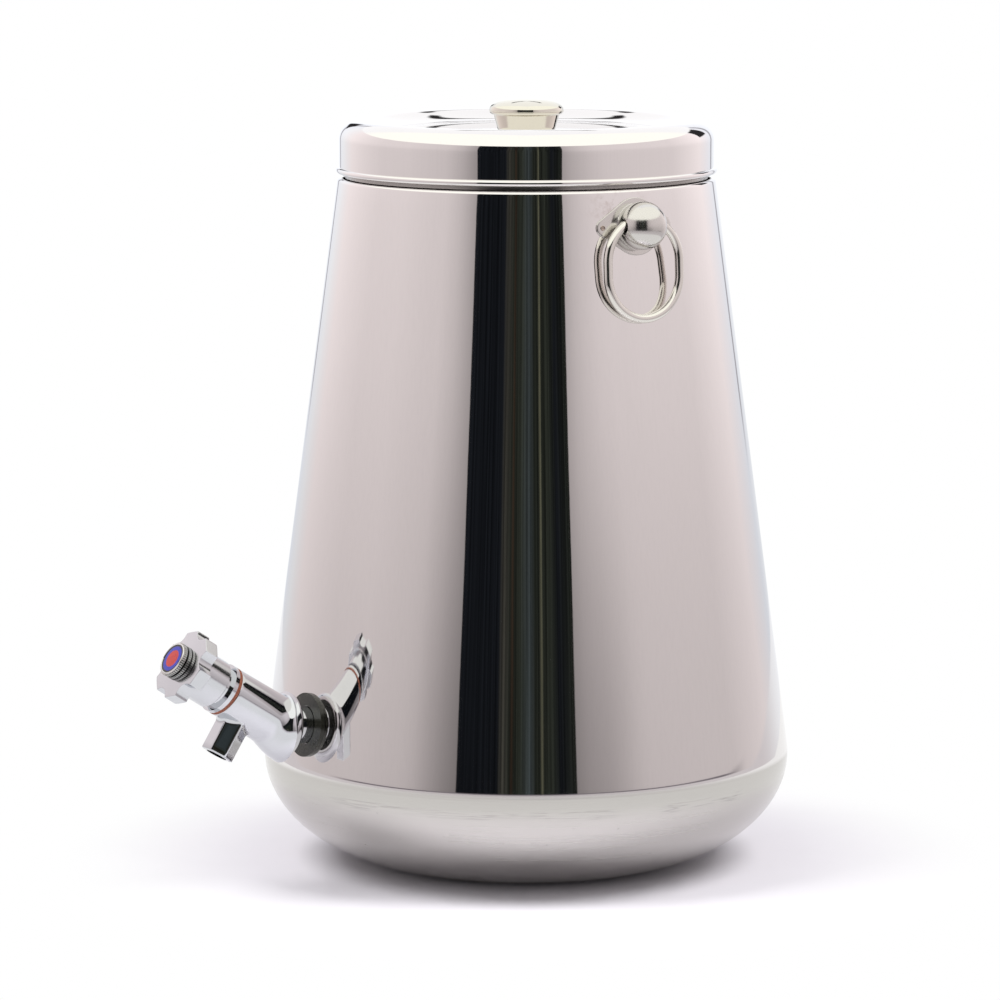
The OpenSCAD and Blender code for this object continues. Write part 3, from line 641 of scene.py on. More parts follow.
def pressed_fibre(name, tone):
    """Red-brown pressed fibre with flecks along the washer."""
    material, tree, shader, position = new_material(name)
    flecks = tree.stretched_noise(position, (900, 2600, 1500), 4.0, 0.7)
    base = tree.mix(tree.remap(flecks, 0.35, 0.7), rgba(tone, 0.7), rgba(tone, 1.35))
    link(tree, base, shader, "Base Color")
    link(tree, tree.remap(flecks, 0.3, 0.7, 0.55, 0.8), shader, "Roughness")
    link(tree, tree.bump(flecks, 0.05 * MM), shader, "Normal")
    return material


def enamel(name, knob):
    """The index disc's glossy inlay, by the disc's own map: a round centre on a field with a dark edge."""
    material, tree, shader, position = new_material(name)
    mapped = tree.add("ShaderNodeUVMap", uv_map="UVMap").outputs[0]
    radius = tree.add("ShaderNodeSeparateXYZ", {0: mapped}).outputs[1]
    mottle = tree.stretched_noise(position, (700, 700, 700), 3.0)
    # The face takes this share of the map, and the three steps along the disc's body take the rest
    face = DISC_RINGS / (DISC_RINGS + 3)
    centre, edge, soft = 0.6 * face, 0.88 * face, 0.02
    tone = tree.mix(tree.remap(radius, centre - soft, centre + soft), rgba(knob.centre), rgba(knob.field))
    tone = tree.mix(tree.remap(radius, edge - soft, edge + soft), tone, rgba(knob.border))
    tone = tree.mix(tree.remap(mottle, 0.4, 0.8, 0.0, 0.25), tone, rgba(knob.border))
    link(tree, tone, shader, "Base Color")
    link(tree, tree.remap(mottle, 0.3, 0.7, 0.16, 0.26), shader, "Roughness")
    link(tree, tree.bump(mottle, 0.02 * MM), shader, "Normal")
    shader.inputs["Coat Weight"].default_value = 0.15
    shader.inputs["Coat Roughness"].default_value = 0.05
    return material


# Geometry Nodes


def geometry_tree(name, inputs):
    """A Geometry Nodes tree with named inputs, its group input and its group output."""
    group = bpy.data.node_groups.new(name, "GeometryNodeTree")
    group.interface.new_socket("Geometry", in_out="OUTPUT", socket_type="NodeSocketGeometry")
    for label, kind in inputs.items():
        group.interface.new_socket(label, in_out="INPUT", socket_type="NodeSocket" + kind)
    tree = Tree(group)
    return tree, tree.add("NodeGroupInput").outputs, tree.add("NodeGroupOutput")


def close_tree(tree, output, geometry, material):
    """Ends a tree in real geometry with its material."""
    real = tree.add("GeometryNodeRealizeInstances", {0: geometry}).outputs[0]
    done = tree.add("GeometryNodeSetMaterial", {0: real, "Material": material}).outputs[0]
    tree.tree.links.new(done, output.inputs[0])


def grown(name, tree, values, place):
    """A plain mesh piece at a place, from a tree whose inputs are set by identifier."""
    piece = bpy.data.objects.new(name, bpy.data.meshes.new(name))
    bpy.context.scene.collection.objects.link(piece)
    modifier = piece.modifiers.new("nodes", "NODES")
    modifier.node_group = tree.tree
    for item in tree.tree.interface.items_tree:
        if item.in_out == "INPUT":
            modifier[item.identifier] = values[item.name]
    baked(piece)
    piece.data.transform(place)
    smooth(piece.data)
    return piece


def round_points(tree, count, radius, height):
    """Points spread evenly round Z, and each one's angle."""
    turn = tree.maths("DIVIDE", 2 * math.pi, count)
    round_angle = tree.times(tree.add("GeometryNodeInputIndex").outputs[0], turn)
    x = tree.times(tree.maths("COSINE", round_angle), radius)
    y = tree.times(tree.maths("SINE", round_angle), radius)
    spot = tree.add("ShaderNodeCombineXYZ", {0: x, 1: y, 2: height}).outputs[0]
    points = tree.add("GeometryNodePoints", {"Count": count, "Position": spot}).outputs[0]
    return points, round_angle


def knurl_tree():
    """Two rows of ridges round a cap."""
    inputs = {"Ridges": "Int", "Row spacing": "Float"}
    inputs.update({size: "Float" for size in ("Radius", "Depth", "Width", "Length")})
    tree, given, output = geometry_tree("Knurled rows", {**inputs, "Material": "Material"})
    points, turn = round_points(tree, given["Ridges"], given["Radius"], 0.0)
    through = tree.times(given["Depth"], 2.0)
    size = tree.add("ShaderNodeCombineXYZ", {0: through, 1: given["Width"], 2: given["Length"]}).outputs[0]
    ridge = tree.add("GeometryNodeMeshCube", {"Size": size}).outputs[0]
    rotation = tree.add("ShaderNodeCombineXYZ", {2: turn}).outputs[0]
    inputs = {"Points": points, "Instance": ridge, "Rotation": rotation}
    row = tree.add("GeometryNodeInstanceOnPoints", inputs).outputs[0]
    shift = tree.add("ShaderNodeCombineXYZ", {2: given["Row spacing"]}).outputs[0]
    second = tree.add("GeometryNodeTransform", {"Geometry": row, "Translation": shift}).outputs[0]
    both = tree.add("GeometryNodeJoinGeometry")
    for part in (row, second):
        tree.tree.links.new(part, both.inputs[0])
    close_tree(tree, output, both.outputs[0], given["Material"])
    return tree


def ring_tree():
    """A ring of round wire: two half circles joined by straight sides, in the YZ plane below its pivot."""
    inputs = {"Bend": "Float", "Straight": "Float", "Drop": "Float", "Wire": "Float", "Steps": "Int"}
    tree, given, output = geometry_tree("Wire ring", {**inputs, "Material": "Material"})
    inputs = {"Resolution": given["Steps"], "Radius": given["Bend"]}
    circle = tree.add("GeometryNodeCurvePrimitiveCircle", inputs).outputs[0]
    place = tree.add("ShaderNodeSeparateXYZ", {0: tree.add("GeometryNodeInputPosition").outputs[0]}).outputs
    lower = tree.maths("LESS_THAN", place[1], 0.0)
    shift = tree.times(lower, given["Straight"])
    height = tree.maths("SUBTRACT", tree.maths("SUBTRACT", place[1], shift), given["Drop"])
    spot = tree.add("ShaderNodeCombineXYZ", {1: place[0], 2: height}).outputs[0]
    path = tree.add("GeometryNodeSetPosition", {"Geometry": circle, "Position": spot}).outputs[0]
    inputs = {"Resolution": WIRE_STEPS, "Radius": given["Wire"]}
    section = tree.add("GeometryNodeCurvePrimitiveCircle", inputs).outputs[0]
    wire = tree.add("GeometryNodeCurveToMesh", {"Curve": path, "Profile Curve": section}).outputs[0]
    close_tree(tree, output, wire, given["Material"])
    return tree


# Vessel


def base_curve(vessel):
    """The four points of the base's curve, from the belly to the foot."""
    taper, rise = vessel.taper, vessel.foot_rise
    radius, height = vessel.belly_radius, vessel.belly_height
    return (
        (radius, height),
        (radius + vessel.belly_lead * math.sin(taper), height - vessel.belly_lead * math.cos(taper)),
        (vessel.foot_radius + vessel.foot_lead * math.cos(rise), vessel.foot_lead * math.sin(rise)),
        (vessel.foot_radius, 0.0),
    )


def wall_radius(vessel, height):
    """Outer radius of the straight wall at a height."""
    return vessel.belly_radius - (height - vessel.belly_height) * math.tan(vessel.taper)


def shoulder(vessel):
    """The centre of the shoulder's rounding."""
    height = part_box("vessel_wall")[1].z - vessel.shoulder_round
    reach = vessel.belly_radius * math.cos(vessel.taper) + vessel.belly_height * math.sin(vessel.taper)
    reach -= vessel.shoulder_round + height * math.sin(vessel.taper)
    return (reach / math.cos(vessel.taper), height)


def wall_outline(vessel):
    """The wall's closed outline, up the outside from the weld and down the inside."""
    curve = base_curve(vessel)
    taper = math.degrees(vessel.taper)
    centre = shoulder(vessel)
    steps = 10
    outside = [bezier(curve, vessel.seam_at * (1 - i / steps)) for i in range(steps)]
    top = arc(centre, vessel.shoulder_round, taper, 90)
    outside += line(curve[0], top[0], 40) + top
    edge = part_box("neck_collar")[1].x - 2 * vessel.rim_roll + vessel.sheet
    outside.append((edge, top[-1][1]))
    return outside + offset(outside, vessel.sheet)[::-1]


def base_outline(vessel):
    """The base's closed outline, down the outside from the weld and back along the inside."""
    curve = base_curve(vessel)
    steps = 48
    span = 1 - vessel.seam_at
    outside = [bezier(curve, vessel.seam_at + span * i / steps) for i in range(steps + 1)]
    inside = offset(outside, -vessel.sheet)
    inside[-1] = (outside[-1][0], vessel.sheet)
    floor = line((vessel.foot_radius, 0), (0, 0), 8)[1:]
    upper = [(radius, vessel.sheet) for radius, _ in floor]
    return outside + floor + [(0, 0), (0, vessel.sheet)] + upper[::-1] + inside[::-1]


def neck_outline(vessel):
    """The neck's closed outline: a tube with a rolled rim."""
    low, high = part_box("neck_collar")
    roll = vessel.rim_roll
    centre = (high.x - roll, high.z - roll)
    inner = centre[0] - roll
    meet = -180 + math.degrees(math.acos((roll - vessel.sheet) / roll))
    outside = line((inner + vessel.sheet, low.z), (inner + vessel.sheet, centre[1] - roll), 4)
    return outside + arc(centre, roll, meet, 180, 24) + [(inner, low.z)]


def heat_tints(vessel):
    """The heat left on the wall by the welds of the two lugs."""
    pivot = JOINTS["ring_right_swing"]["pos_m"]
    x, y, z = pivot[0], -vessel.tint_shift, pivot[2] + vessel.tint_shift
    return [(Vector(spot), vessel.tint_reach, vessel.heat_tint) for spot in ((x, y, z), (-x, -y, z))]


class CONTAINER_OT_vessel(bpy.types.Operator):
    """Build the vessel's wall, base and neck, with the weld's marks."""

    bl_idname = "container.vessel"
    bl_label = "Build vessel"

    def execute(self, context):
        vessel = context.scene.container_vessel
        weld = bezier(base_curve(vessel), vessel.seam_at)[1]
        wall_low, wall_high = weld - vessel.ground_lap, vessel.belly_height - vessel.ground_end
        wall_band = (wall_low, wall_high, vessel.base_steel, vessel.base_polish, weld)
        base_low, base_high = vessel.ground_start * weld, weld + vessel.ground_lap
        base_band = (base_low, base_high, vessel.base_steel, vessel.ground_polish, weld)
        wall_steel = sheet_steel(
            "wall_steel",
            vessel.steel,
            vessel.polish,
            waves=0.16 * MM,
            streaks=0.0016 * MM,
            tints=heat_tints(vessel),
            ground=wall_band,
        )
        base_steel = sheet_steel(
            "base_steel",
            vessel.base_steel,
            vessel.base_polish,
            waves=0.04 * MM,
            streaks=0.0012 * MM,
            ground=base_band,
        )
        # The neck's dark colour is partly painted shade, for the gap under the lid's bead
        shaded_neck_steel = sheet_steel(
            "shaded_neck_steel", vessel.shaded_neck_steel, vessel.neck_polish, waves=0.05 * MM, streaks=0.002 * MM
        )
        wall = turned("wall_skin", wall_outline(vessel), wall_steel, VESSEL_STEPS)
        settle(wall, "vessel", "vessel_steel", "vessel_wall")
        base = turned("base_skin", base_outline(vessel), base_steel, VESSEL_STEPS)
        settle(base, "vessel", "vessel_steel", "base_bowl")
        neck = turned("neck_skin", neck_outline(vessel), shaded_neck_steel, NECK_STEPS)
        settle(neck, "vessel", "vessel_steel", "neck_collar")
        return {"FINISHED"}


# Lid


def lid_outline(lid):
    """The lid's closed outline, from the bead up the outside to the middle and back along the inside."""
    low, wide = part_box("lid_skirt")
    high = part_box("lid_top")[1]
    dish_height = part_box("lid_knob_neck")[0].z
    over = math.degrees(lid.crest_over)
    skirt = wide.x - lid.bead
    bead_centre = (skirt, low.z + lid.bead)
    crest_centre = (skirt - lid.crest, high.z - lid.crest)
    fall = 1 - math.cos(lid.crest_over)
    dish = ((high.z - dish_height) - lid.crest * fall) / fall
    reach = lid.crest + dish
    dish_centre = (
        crest_centre[0] - reach * math.sin(lid.crest_over),
        crest_centre[1] + reach * math.cos(lid.crest_over),
    )
    outside = line((skirt, bead_centre[1] + lid.bead), (skirt, crest_centre[1]), 8)
    outside += arc(crest_centre, lid.crest, 0, 90 + over, 40)
    outside += arc(dish_centre, dish, over - 90, -90, 16)[1:]
    hole = (lid.hole, dish_height)
    outside += line((dish_centre[0], dish_height), hole, 10)[1:] + [hole]
    inside = offset(outside, lid.sheet)
    inside[0] = (skirt - lid.sheet, outside[0][1])
    start = -math.degrees(math.acos(-lid.sheet / lid.bead))
    bead = arc(bead_centre, lid.bead, start, 90, 24)[:-1]
    return bead + outside + inside[::-1]


def knob_cap_outline(lid):
    """The knob cap's closed outline: a low dome with its edge rolled under."""
    low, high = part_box("lid_knob_cap")
    lip = (high.x - lid.knob_lip, low.z + lid.knob_lip)
    rise = high.z - lip[1]
    steps = 28
    fullness = 2.5
    power = 2 / fullness
    turns = [0.5 * math.pi * i / steps for i in range(steps + 1)]
    bulge = [(math.sin(a) ** power, max(math.cos(a), 0.0) ** power) for a in turns]
    dome = [(high.x * x, lip[1] + rise * z) for x, z in bulge]
    inner = lip[0] - 2 * lid.knob_sheet
    rolled = arc(lip, lid.knob_lip, 0, -90)[1:] + [(inner, low.z), (inner, low.z + lid.knob_sheet)]
    rolled += arc(lip, lid.knob_lip - lid.knob_sheet, -90, 0)
    sheet = lid.knob_sheet
    under = [((high.x - sheet) * x, lip[1] + (rise - sheet) * z) for x, z in bulge[::-1]]
    dome[0] = (0.0, dome[0][1])
    under[-1] = (0.0, under[-1][1])
    return dome + rolled + under[1:]


def knob_neck_outline(lid):
    """The knob neck's closed outline: a cup that widens towards the cap."""
    low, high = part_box("lid_knob_neck")
    sheet = lid.knob_sheet
    side = line((lid.knob_foot, low.z + 0.5 * sheet), (high.x, high.z), 6)
    foot = [(lid.hole, low.z), (lid.knob_foot - 0.5 * sheet, low.z)]
    inside = [(high.x - sheet, high.z), (lid.knob_foot - sheet, low.z + sheet), (lid.hole, low.z + sheet)]
    return foot + side + [(high.x, high.z)] + inside


class CONTAINER_OT_lid(bpy.types.Operator):
    """Build the lid's shell and its knob."""

    bl_idname = "container.lid"
    bl_label = "Build lid"

    def execute(self, context):
        lid = context.scene.container_lid
        steel = context.scene.container_vessel.steel
        shell_steel = sheet_steel("lid_steel", steel, lid.polish, waves=0.05 * MM, streaks=0.004 * MM)
        knob_steel = sheet_steel(
            "lid_knob_steel", lid.knob_steel, lid.knob_polish, waves=0.02 * MM, streaks=0.003 * MM
        )
        shell = turned("lid_skin", lid_outline(lid), shell_steel, VESSEL_STEPS)
        settle(shell, "lid", "lid_steel", "lid_top", "lid_skirt")
        cap = turned("lid_knob_cap_skin", knob_cap_outline(lid), knob_steel, LID_KNOB_STEPS)
        settle(cap, "lid", "lid_knob_steel", "lid_knob_cap")
        neck = turned("lid_knob_neck_skin", knob_neck_outline(lid), knob_steel, LID_KNOB_STEPS)
        settle(neck, "lid", "lid_knob_steel", "lid_knob_neck")
        return {"FINISHED"}


# Handles


def lug_place(vessel, handle, side):
    """A lug's own axes: Z out of the wall, Y along the ring's pivot."""
    pivot = JOINTS["ring_right_swing"]["pos_m"]
    out = Vector((math.cos(vessel.taper), 0, math.sin(vessel.taper)))
    foot = Vector(pivot) - handle.offset * out
    place = Matrix.Translation(foot) @ Matrix.Rotation(math.pi / 2 - vessel.taper, 4, "Y")
    return Matrix.Rotation(0 if side > 0 else math.pi, 4, "Z") @ place


def wall_rise(vessel, place, x, y):
    """Height of the wall's face over a lug's XY plane."""
    height = 0.0
    for _ in range(4):
        point = place @ Vector((x, y, height))
        gap = math.hypot(point.x, point.y) - wall_radius(vessel, point.z)
        height -= gap * math.cos(vessel.taper)
    return height


def flange_reach(handle, turn):
    """Distance of the flange's edge from the dome's axis: a disc with two ears, joined by straight sides."""
    from_ear = abs(math.asin(math.cos(turn)))
    side = math.acos((handle.flange - handle.ear) / handle.ear_at)
    meet = math.atan2(handle.ear * math.sin(side), handle.ear_at + handle.ear * math.cos(side))
    if from_ear < meet:
        across = handle.ear_at * math.sin(from_ear)
        return handle.ear_at * math.cos(from_ear) + math.sqrt(handle.ear**2 - across**2)
    if from_ear < side:
        return handle.flange / math.cos(side - from_ear)
    return handle.flange


def ball(centre, radius, start, end, steps):
    """Points of a ball's meridian, as (radius, height) pairs; the angles are in degrees."""
    return [(max(r, 0.0), h) for r, h in arc((0, centre), radius, start, end, steps)]


def lug_rows(vessel, handle, place):
    """Rings of a lug: over the ball, down the skirt, along the flange and back underneath."""
    outer, inner = handle.dome, handle.dome - handle.sheet
    skirt, skirt_in = outer - handle.waist, inner - handle.waist
    below = -math.degrees(math.acos(skirt / outer))
    below_in = -math.degrees(math.acos(skirt_in / inner))
    low, high = handle.weld_gap, handle.weld_gap + handle.sheet
    fillet, edge, burr = 0.5 * MM, 0.3 * MM, 0.1 * MM
    # Stations of the flange: share of the way from skirt to edge, distance inside that, height over the wall
    flange = [(0, 0, high + fillet), (0, -0.3 * fillet, high + 0.3 * fillet), (0, -fillet, high)]
    flange += [(way, 0, high) for way in (0.3, 0.6, 0.85)]
    flange += [(1, edge, high), (1, 0.8 * burr, high - burr), (1, 0, high - edge)]
    flange += [(1, 0, low + burr), (1, burr, low), (0.6, 0, low), (0.3, 0, low)]
    turns = full_turn(LUG_STEPS)

    def over_wall(reach, turn, lift):
        x, y = reach * math.cos(turn), reach * math.sin(turn)
        return Vector((x, y, wall_rise(vessel, place, x, y) + lift))

    rows = rings(ball(handle.offset, outer, 90, below, 28), LUG_STEPS)
    for way, inside, lift in flange:
        reaches = [skirt + way * (flange_reach(handle, a) - skirt) - inside for a in turns]
        rows.append([over_wall(reach, a, lift) for reach, a in zip(reaches, turns)])
    rows.append([over_wall(skirt_in, a, low) for a in turns])
    return rows + rings(ball(handle.offset, inner, below_in, 90, 24), LUG_STEPS)


def spot_weld_outline():
    """A spot weld's closed outline: a shallow button in a raised ring."""
    foot = [(0, -0.3), (1.5, -0.3), (1.45, 0.04)]
    ring = [(1.15, 0.22), (0.85, 0.05)]
    button = [(0.4, 0.08), (0, 0.12)]
    return [(radius * MM, height * MM) for radius, height in foot + ring + button]


class CONTAINER_OT_handles(bpy.types.Operator):
    """Build the two lugs with their spot welds, and the two rings."""

    bl_idname = "container.handles"
    bl_label = "Build handles"

    def execute(self, context):
        vessel = context.scene.container_vessel
        handle = context.scene.container_handle
        satin = satin_metal(
            "lug_satin", handle.satin, polish=0.14, grain=0.004 * MM, stretch=(300, 300, 1800)
        )
        wire = satin_metal(
            "ring_wire_steel", handle.wire_steel, polish=0.10, grain=0.001 * MM, stretch=(500, 500, 500)
        )
        weld = satin_metal(
            "spot_weld", vessel.heat_tint, polish=0.3, grain=0.02 * MM, stretch=(900, 900, 900)
        )
        wire_ring = ring_tree()
        weld_shift = 1.5 * MM
        for side, name in ((1, "right"), (-1, "left")):
            place = lug_place(vessel, handle, side)
            mesh = ring_mesh(f"lug_{name}_skin", lug_rows(vessel, handle, place))
            lug = new_object(f"lug_{name}_skin", mesh, satin)
            across = Matrix.Translation((0, 0, handle.offset)) @ Matrix.Rotation(math.pi / 2, 4, "X")
            hole = rod("ring_hole", handle.hole, -2 * handle.dome, 2 * handle.dome, across, satin)
            combine(lug, hole, "DIFFERENCE")
            lug.data.transform(place)
            settle(lug, "vessel", "handle_steel", f"lug_{name}")

            for end in (1, -1):
                y = end * (handle.ear_at + weld_shift)
                rise = wall_rise(vessel, place, 0, y) + handle.weld_gap + handle.sheet
                ahead, back = (wall_rise(vessel, place, 0, y + step) for step in (MM, -MM))
                lean = Matrix.Rotation(math.atan2(ahead - back, 2 * MM), 4, "X")
                spot = place @ Matrix.Translation((0, y, rise)) @ lean
                ear = "front" if end < 0 else "rear"
                button = turned(f"spot_weld_{name}_{ear}", spot_weld_outline(), weld, WELD_STEPS, spot)
                settle(button, "vessel", "handle_steel")

            values = {
                "Bend": handle.bend,
                "Straight": handle.straight,
                "Drop": handle.drop,
                "Wire": handle.wire,
                "Steps": WIRE_POINTS,
                "Material": wire,
            }
            pivot = Matrix.Translation(JOINTS[f"ring_{name}_swing"]["pos_m"])
            hang = pivot @ Matrix.Rotation(-side * handle.lean, 4, "Y")
            ring = grown(f"ring_{name}_wire", wire_ring, values, hang)
            settle(ring, f"ring_{name}", "handle_steel", f"ring_{name}")
        return {"FINISHED"}


# Tap


def barrel_place():
    """The barrel's own axes: Z along the barrel from the elbow, X level."""
    joint = JOINTS["knob_turn"]
    along = Vector(joint["axis"])
    return Matrix.Translation(joint["pos_m"]) @ Matrix.Rotation(math.atan2(-along.y, along.z), 4, "X")


def spine(tap, distance):
    """A place on the tap's middle line, whose Z runs along it, at a distance from the wall.

    It is in the barrel's axes.
    """
    past = distance - tap.elbow_at
    eased = min(max((past + tap.bend) / (2 * tap.bend), 0.0), 1.0)
    turn = tap.tilt * (1 - eased)
    if abs(past) >= tap.bend:
        centre = Matrix.Rotation(turn, 4, "X") @ Vector((0, 0, past))
    else:
        radius = tap.bend / math.tan(tap.tilt / 2)
        centre = Vector((0, -radius * (1 - math.cos(turn)), tap.bend - radius * math.sin(turn)))
    return Matrix.Translation(centre) @ Matrix.Rotation(turn, 4, "X")


def barrel_radius(tap, station):
    """Outer radius of the barrel at a station from the elbow."""
    return tap.root + (tap.mouth - tap.root) * station / tap.barrel


def tap_outline(tap):
    """The tap's closed outline along its middle line, as (radius, distance from the wall) pairs."""
    chamfer, fillet, edge = 0.8 * MM, 0.6 * MM, 0.5 * MM
    lip, lip_rise, lip_edge = 1.6 * MM, 1.0 * MM, 0.3 * MM
    swell_length, ease, inlet_end = 9 * MM, 6 * MM, 3 * MM
    mouth = tap.elbow_at + tap.barrel
    seat = tap.elbow_at + tap.seat_at
    edge_centre = (tap.bulb - tap.bulb_edge, tap.bulb_at + tap.bulb_edge)
    slope = (tap.mouth - tap.root) / tap.barrel
    swell_start = (tap.bulb, edge_centre[1])
    swell_end = (barrel_radius(tap, swell_length), tap.elbow_at + swell_length)
    swell_out = (tap.bulb, swell_start[1] + ease)
    swell_in = (swell_end[0] - slope * ease, swell_end[1] - ease)
    swell = (swell_start, swell_out, swell_in, swell_end)
    outside = [(tap.inlet, -tap.shank_end), (tap.shank - chamfer, -tap.shank_end)]
    outside += line((tap.shank, chamfer - tap.shank_end), (tap.shank, tap.bulb_at - fillet), 10)
    outside += arc((tap.shank + fillet, tap.bulb_at - fillet), fillet, 180, 90, 6)
    outside += arc(edge_centre, tap.bulb_edge, -90, 0, 16)
    outside += [bezier(swell, (i + 1) / 20) for i in range(20)]
    outside += line(swell_end, (tap.mouth, mouth - edge), 20)[1:]
    outside += arc((tap.mouth - edge, mouth - edge), edge, 0, 90, 5)
    inside = [(tap.chamber, mouth), (tap.chamber, seat - lip_rise), (tap.seat + lip, seat - lip_rise)]
    inside += [(tap.seat + lip, seat), (tap.seat, seat)]
    inside += line((tap.seat, seat - lip_edge), (tap.seat, tap.elbow_at), 6)
    inside += line((tap.inlet, tap.elbow_at - inlet_end), (tap.inlet, -tap.shank_end), 10)
    return outside + inside


def swept(name, tap, outline, material):
    """A piece turned about the tap's bent middle line, in the barrel's axes."""
    turns = full_turn(TAP_STEPS)
    rows = []
    for radius, distance in outline:
        place = spine(tap, distance)
        rows.append([place @ at_turn(radius, a) for a in turns])
    return new_object(name, ring_mesh(name, rows, closed=True), material)


def hexagon(turn, flats):
    """Radius of a hexagon with rounded corners, whose corners lie along X."""
    sharpness = 26
    sides = [max(math.cos(turn - math.radians(30 + 60 * i)), 0.0) ** sharpness for i in range(6)]
    return flats / 2 * sum(sides) ** (-1 / sharpness)


def spout_rows(tap):
    """Rings of the spout, from its end up to a fillet on the barrel and on into the barrel's wall."""
    loop = [(hexagon(a, tap.spout_flats), a) for a in full_turn(TAP_STEPS)]
    end, fillet, steps = tap.spout, tap.spout_fillet, 14
    chamfer, bevel, bevel_drop = 0.7 * MM, 0.2 * MM, 0.3 * MM
    straight, overlap, sunk = 4 * MM, 0.05 * MM, 1.6 * MM

    def barrel_face(x, y, sink=0.0):
        """Height of the barrel's face above its axis, or of a face that lies deeper."""
        radius = barrel_radius(tap, tap.spout_at + y) - sink
        return math.sqrt(max(radius**2 - x * x, 0.0))

    def ring(inset, height):
        return [at_turn(r - inset, a, height) for r, a in loop]

    rows = [[Vector((0, 0, end))], ring(chamfer, end), ring(bevel, end - bevel_drop)]
    rows += [ring(0, end - chamfer), ring(0, end - straight)]
    for i in range(steps + 1):
        bend = 0.5 * math.pi * i / steps
        row = []
        for r, a in loop:
            wide = r + fillet
            low = barrel_face(wide * math.cos(a), wide * math.sin(a), overlap)
            high = barrel_face(r * math.cos(a), r * math.sin(a)) + fillet
            reach = r + fillet * (1 - math.cos(bend))
            row.append(at_turn(reach, a, high - (high - low) * math.sin(bend)))
        rows.append(row)
    for keep in (1.0, 0.66, 0.33):
        feet = [(keep * (r + fillet) * math.cos(a), keep * (r + fillet) * math.sin(a)) for r, a in loop]
        rows.append([Vector((x, y, barrel_face(x, y, sunk))) for x, y in feet])
    rows.append([Vector((0, 0, barrel_face(0, 0, sunk)))])
    return rows


class CONTAINER_OT_tap(bpy.types.Operator):
    """Build the tap's body with its spout, and dress the washers and the headwork."""

    bl_idname = "container.tap"
    bl_label = "Build tap"

    def execute(self, context):
        tap = context.scene.container_tap
        chrome = satin_metal(
            "tap_chrome", tap.chrome, polish=0.045, grain=0.0012 * MM, stretch=(260, 260, 260)
        )
        barrel = barrel_place()
        body = swept("tap_body_skin", tap, tap_outline(tap), chrome)
        down = Matrix.Translation((0, 0, tap.spout_at)) @ Matrix.Rotation(math.pi / 2, 4, "X")
        spout = new_object("spout", ring_mesh("spout", spout_rows(tap)), chrome)
        spout.data.transform(down)
        combine(body, spout, "UNION")
        bore = rod("spout_bore", tap.spout_bore, 0.0, 2 * tap.spout, down, chrome)
        combine(body, bore, "DIFFERENCE")
        body.data.transform(barrel)
        settle(body, "vessel", "tap_chrome", "tap_body")

        black = rubber("washer_rubber", tap.rubber)
        brass = satin_metal("turned_brass", tap.brass, polish=0.22, grain=0.01 * MM, stretch=(400, 400, 400))
        plain = satin_metal(
            "fastener_steel", tap.fastener, polish=0.26, grain=0.01 * MM, stretch=(500, 500, 500)
        )
        fibre = pressed_fibre("pressed_fibre", tap.fibre)
        finishes = (
            (black, ("tap_outer_washer", "tap_inner_washer", "spindle_o_ring", "jumper_washer")),
            (brass, ("tap_back_nut", "spindle", "jumper")),
            (plain, ("spindle_circlip", "jumper_screw", "knob_screw")),
            (plain, ("lid_knob_screw", "lid_knob_washer", "lid_knob_nut")),
            (fibre, ("fibre_washer",)),
            (chrome, ("bonnet",)),
        )
        for finish, nodes in finishes:
            for node in nodes:
                dress(node, finish)
        return {"FINISHED"}


# Tap knob


def lobe_reach(knob, turn):
    """Distance of the knob's edge from its axis: flat-faced lobes with scooped notches between them."""
    step = 2 * math.pi / knob.lobes
    from_lobe = abs((turn - knob.rest) % step - step / 2)
    flat = knob.lobe / math.cos(from_lobe)
    corner = knob.lobe / math.cos(step / 2)
    across = corner * math.sin(step / 2 - from_lobe)
    if across >= knob.notch:
        return flat
    scoop = corner * math.cos(step / 2 - from_lobe) - math.sqrt(knob.notch**2 - across**2)
    return smooth_min(flat, scoop, knob.lobe_blend)


def knob_outline(knob):
    """The knob's closed outline before its notches are taken out, as (radius, station) pairs."""
    margin, gap, edge = 1.2 * MM, 0.1 * MM, 1.0 * MM
    chamfer, fillet, front_drop = 0.4 * MM, 1.2 * MM, 1.1 * MM
    screw, head, drive = 2.1 * MM, 4.2 * MM, 3.9 * MM
    full = knob.lobe + margin
    rim = knob.cap + gap
    slope = math.degrees(math.atan2(knob.top - knob.front_at, knob.lobe - rim))
    front_edge = (full - edge, knob.front_at - front_drop)
    outside = [(knob.hollow, knob.foot), (knob.skirt - chamfer, knob.foot)]
    outside += line((knob.skirt, knob.foot + chamfer), (knob.skirt, knob.lobe_at - fillet), 10)
    outside += arc((knob.skirt + fillet, knob.lobe_at - fillet), fillet, 180, 90, 8)
    outside += line((knob.skirt + 1.5 * fillet, knob.lobe_at), (full - edge, knob.lobe_at), 6)
    outside += arc((full - edge, knob.lobe_at + edge), edge, -90, 0, 8)
    outside += line((full, knob.lobe_at + edge), (full, front_edge[1]), 12)[1:]
    outside += arc(front_edge, edge, 0, 90 - slope, 8)
    outside += line(outside[-1], (rim, knob.top), 24)[1:] + [(rim, knob.top)]
    web_low = knob.web - knob.web_thickness
    inside = [(head, knob.top), (head, knob.web), (screw, knob.web), (screw, web_low)]
    inside += [(drive, web_low), (drive, knob.roof), (knob.hollow, knob.roof)]
    return outside + inside


def knob_rows(knob):
    """Rings of the knob: the skirt stays round, and the lobes have notches between them."""
    turns = full_turn(KNOB_STEPS)
    edges = [lobe_reach(knob, a) for a in turns]
    rows = []
    for radius, station in knob_outline(knob):
        reaches = [radius] * KNOB_STEPS
        if radius >= knob.skirt + MM:
            reaches = [smooth_min(radius, edge, knob.lobe_blend) for edge in edges]
        rows.append([at_turn(reach, a, station) for reach, a in zip(reaches, turns)])
    return rows


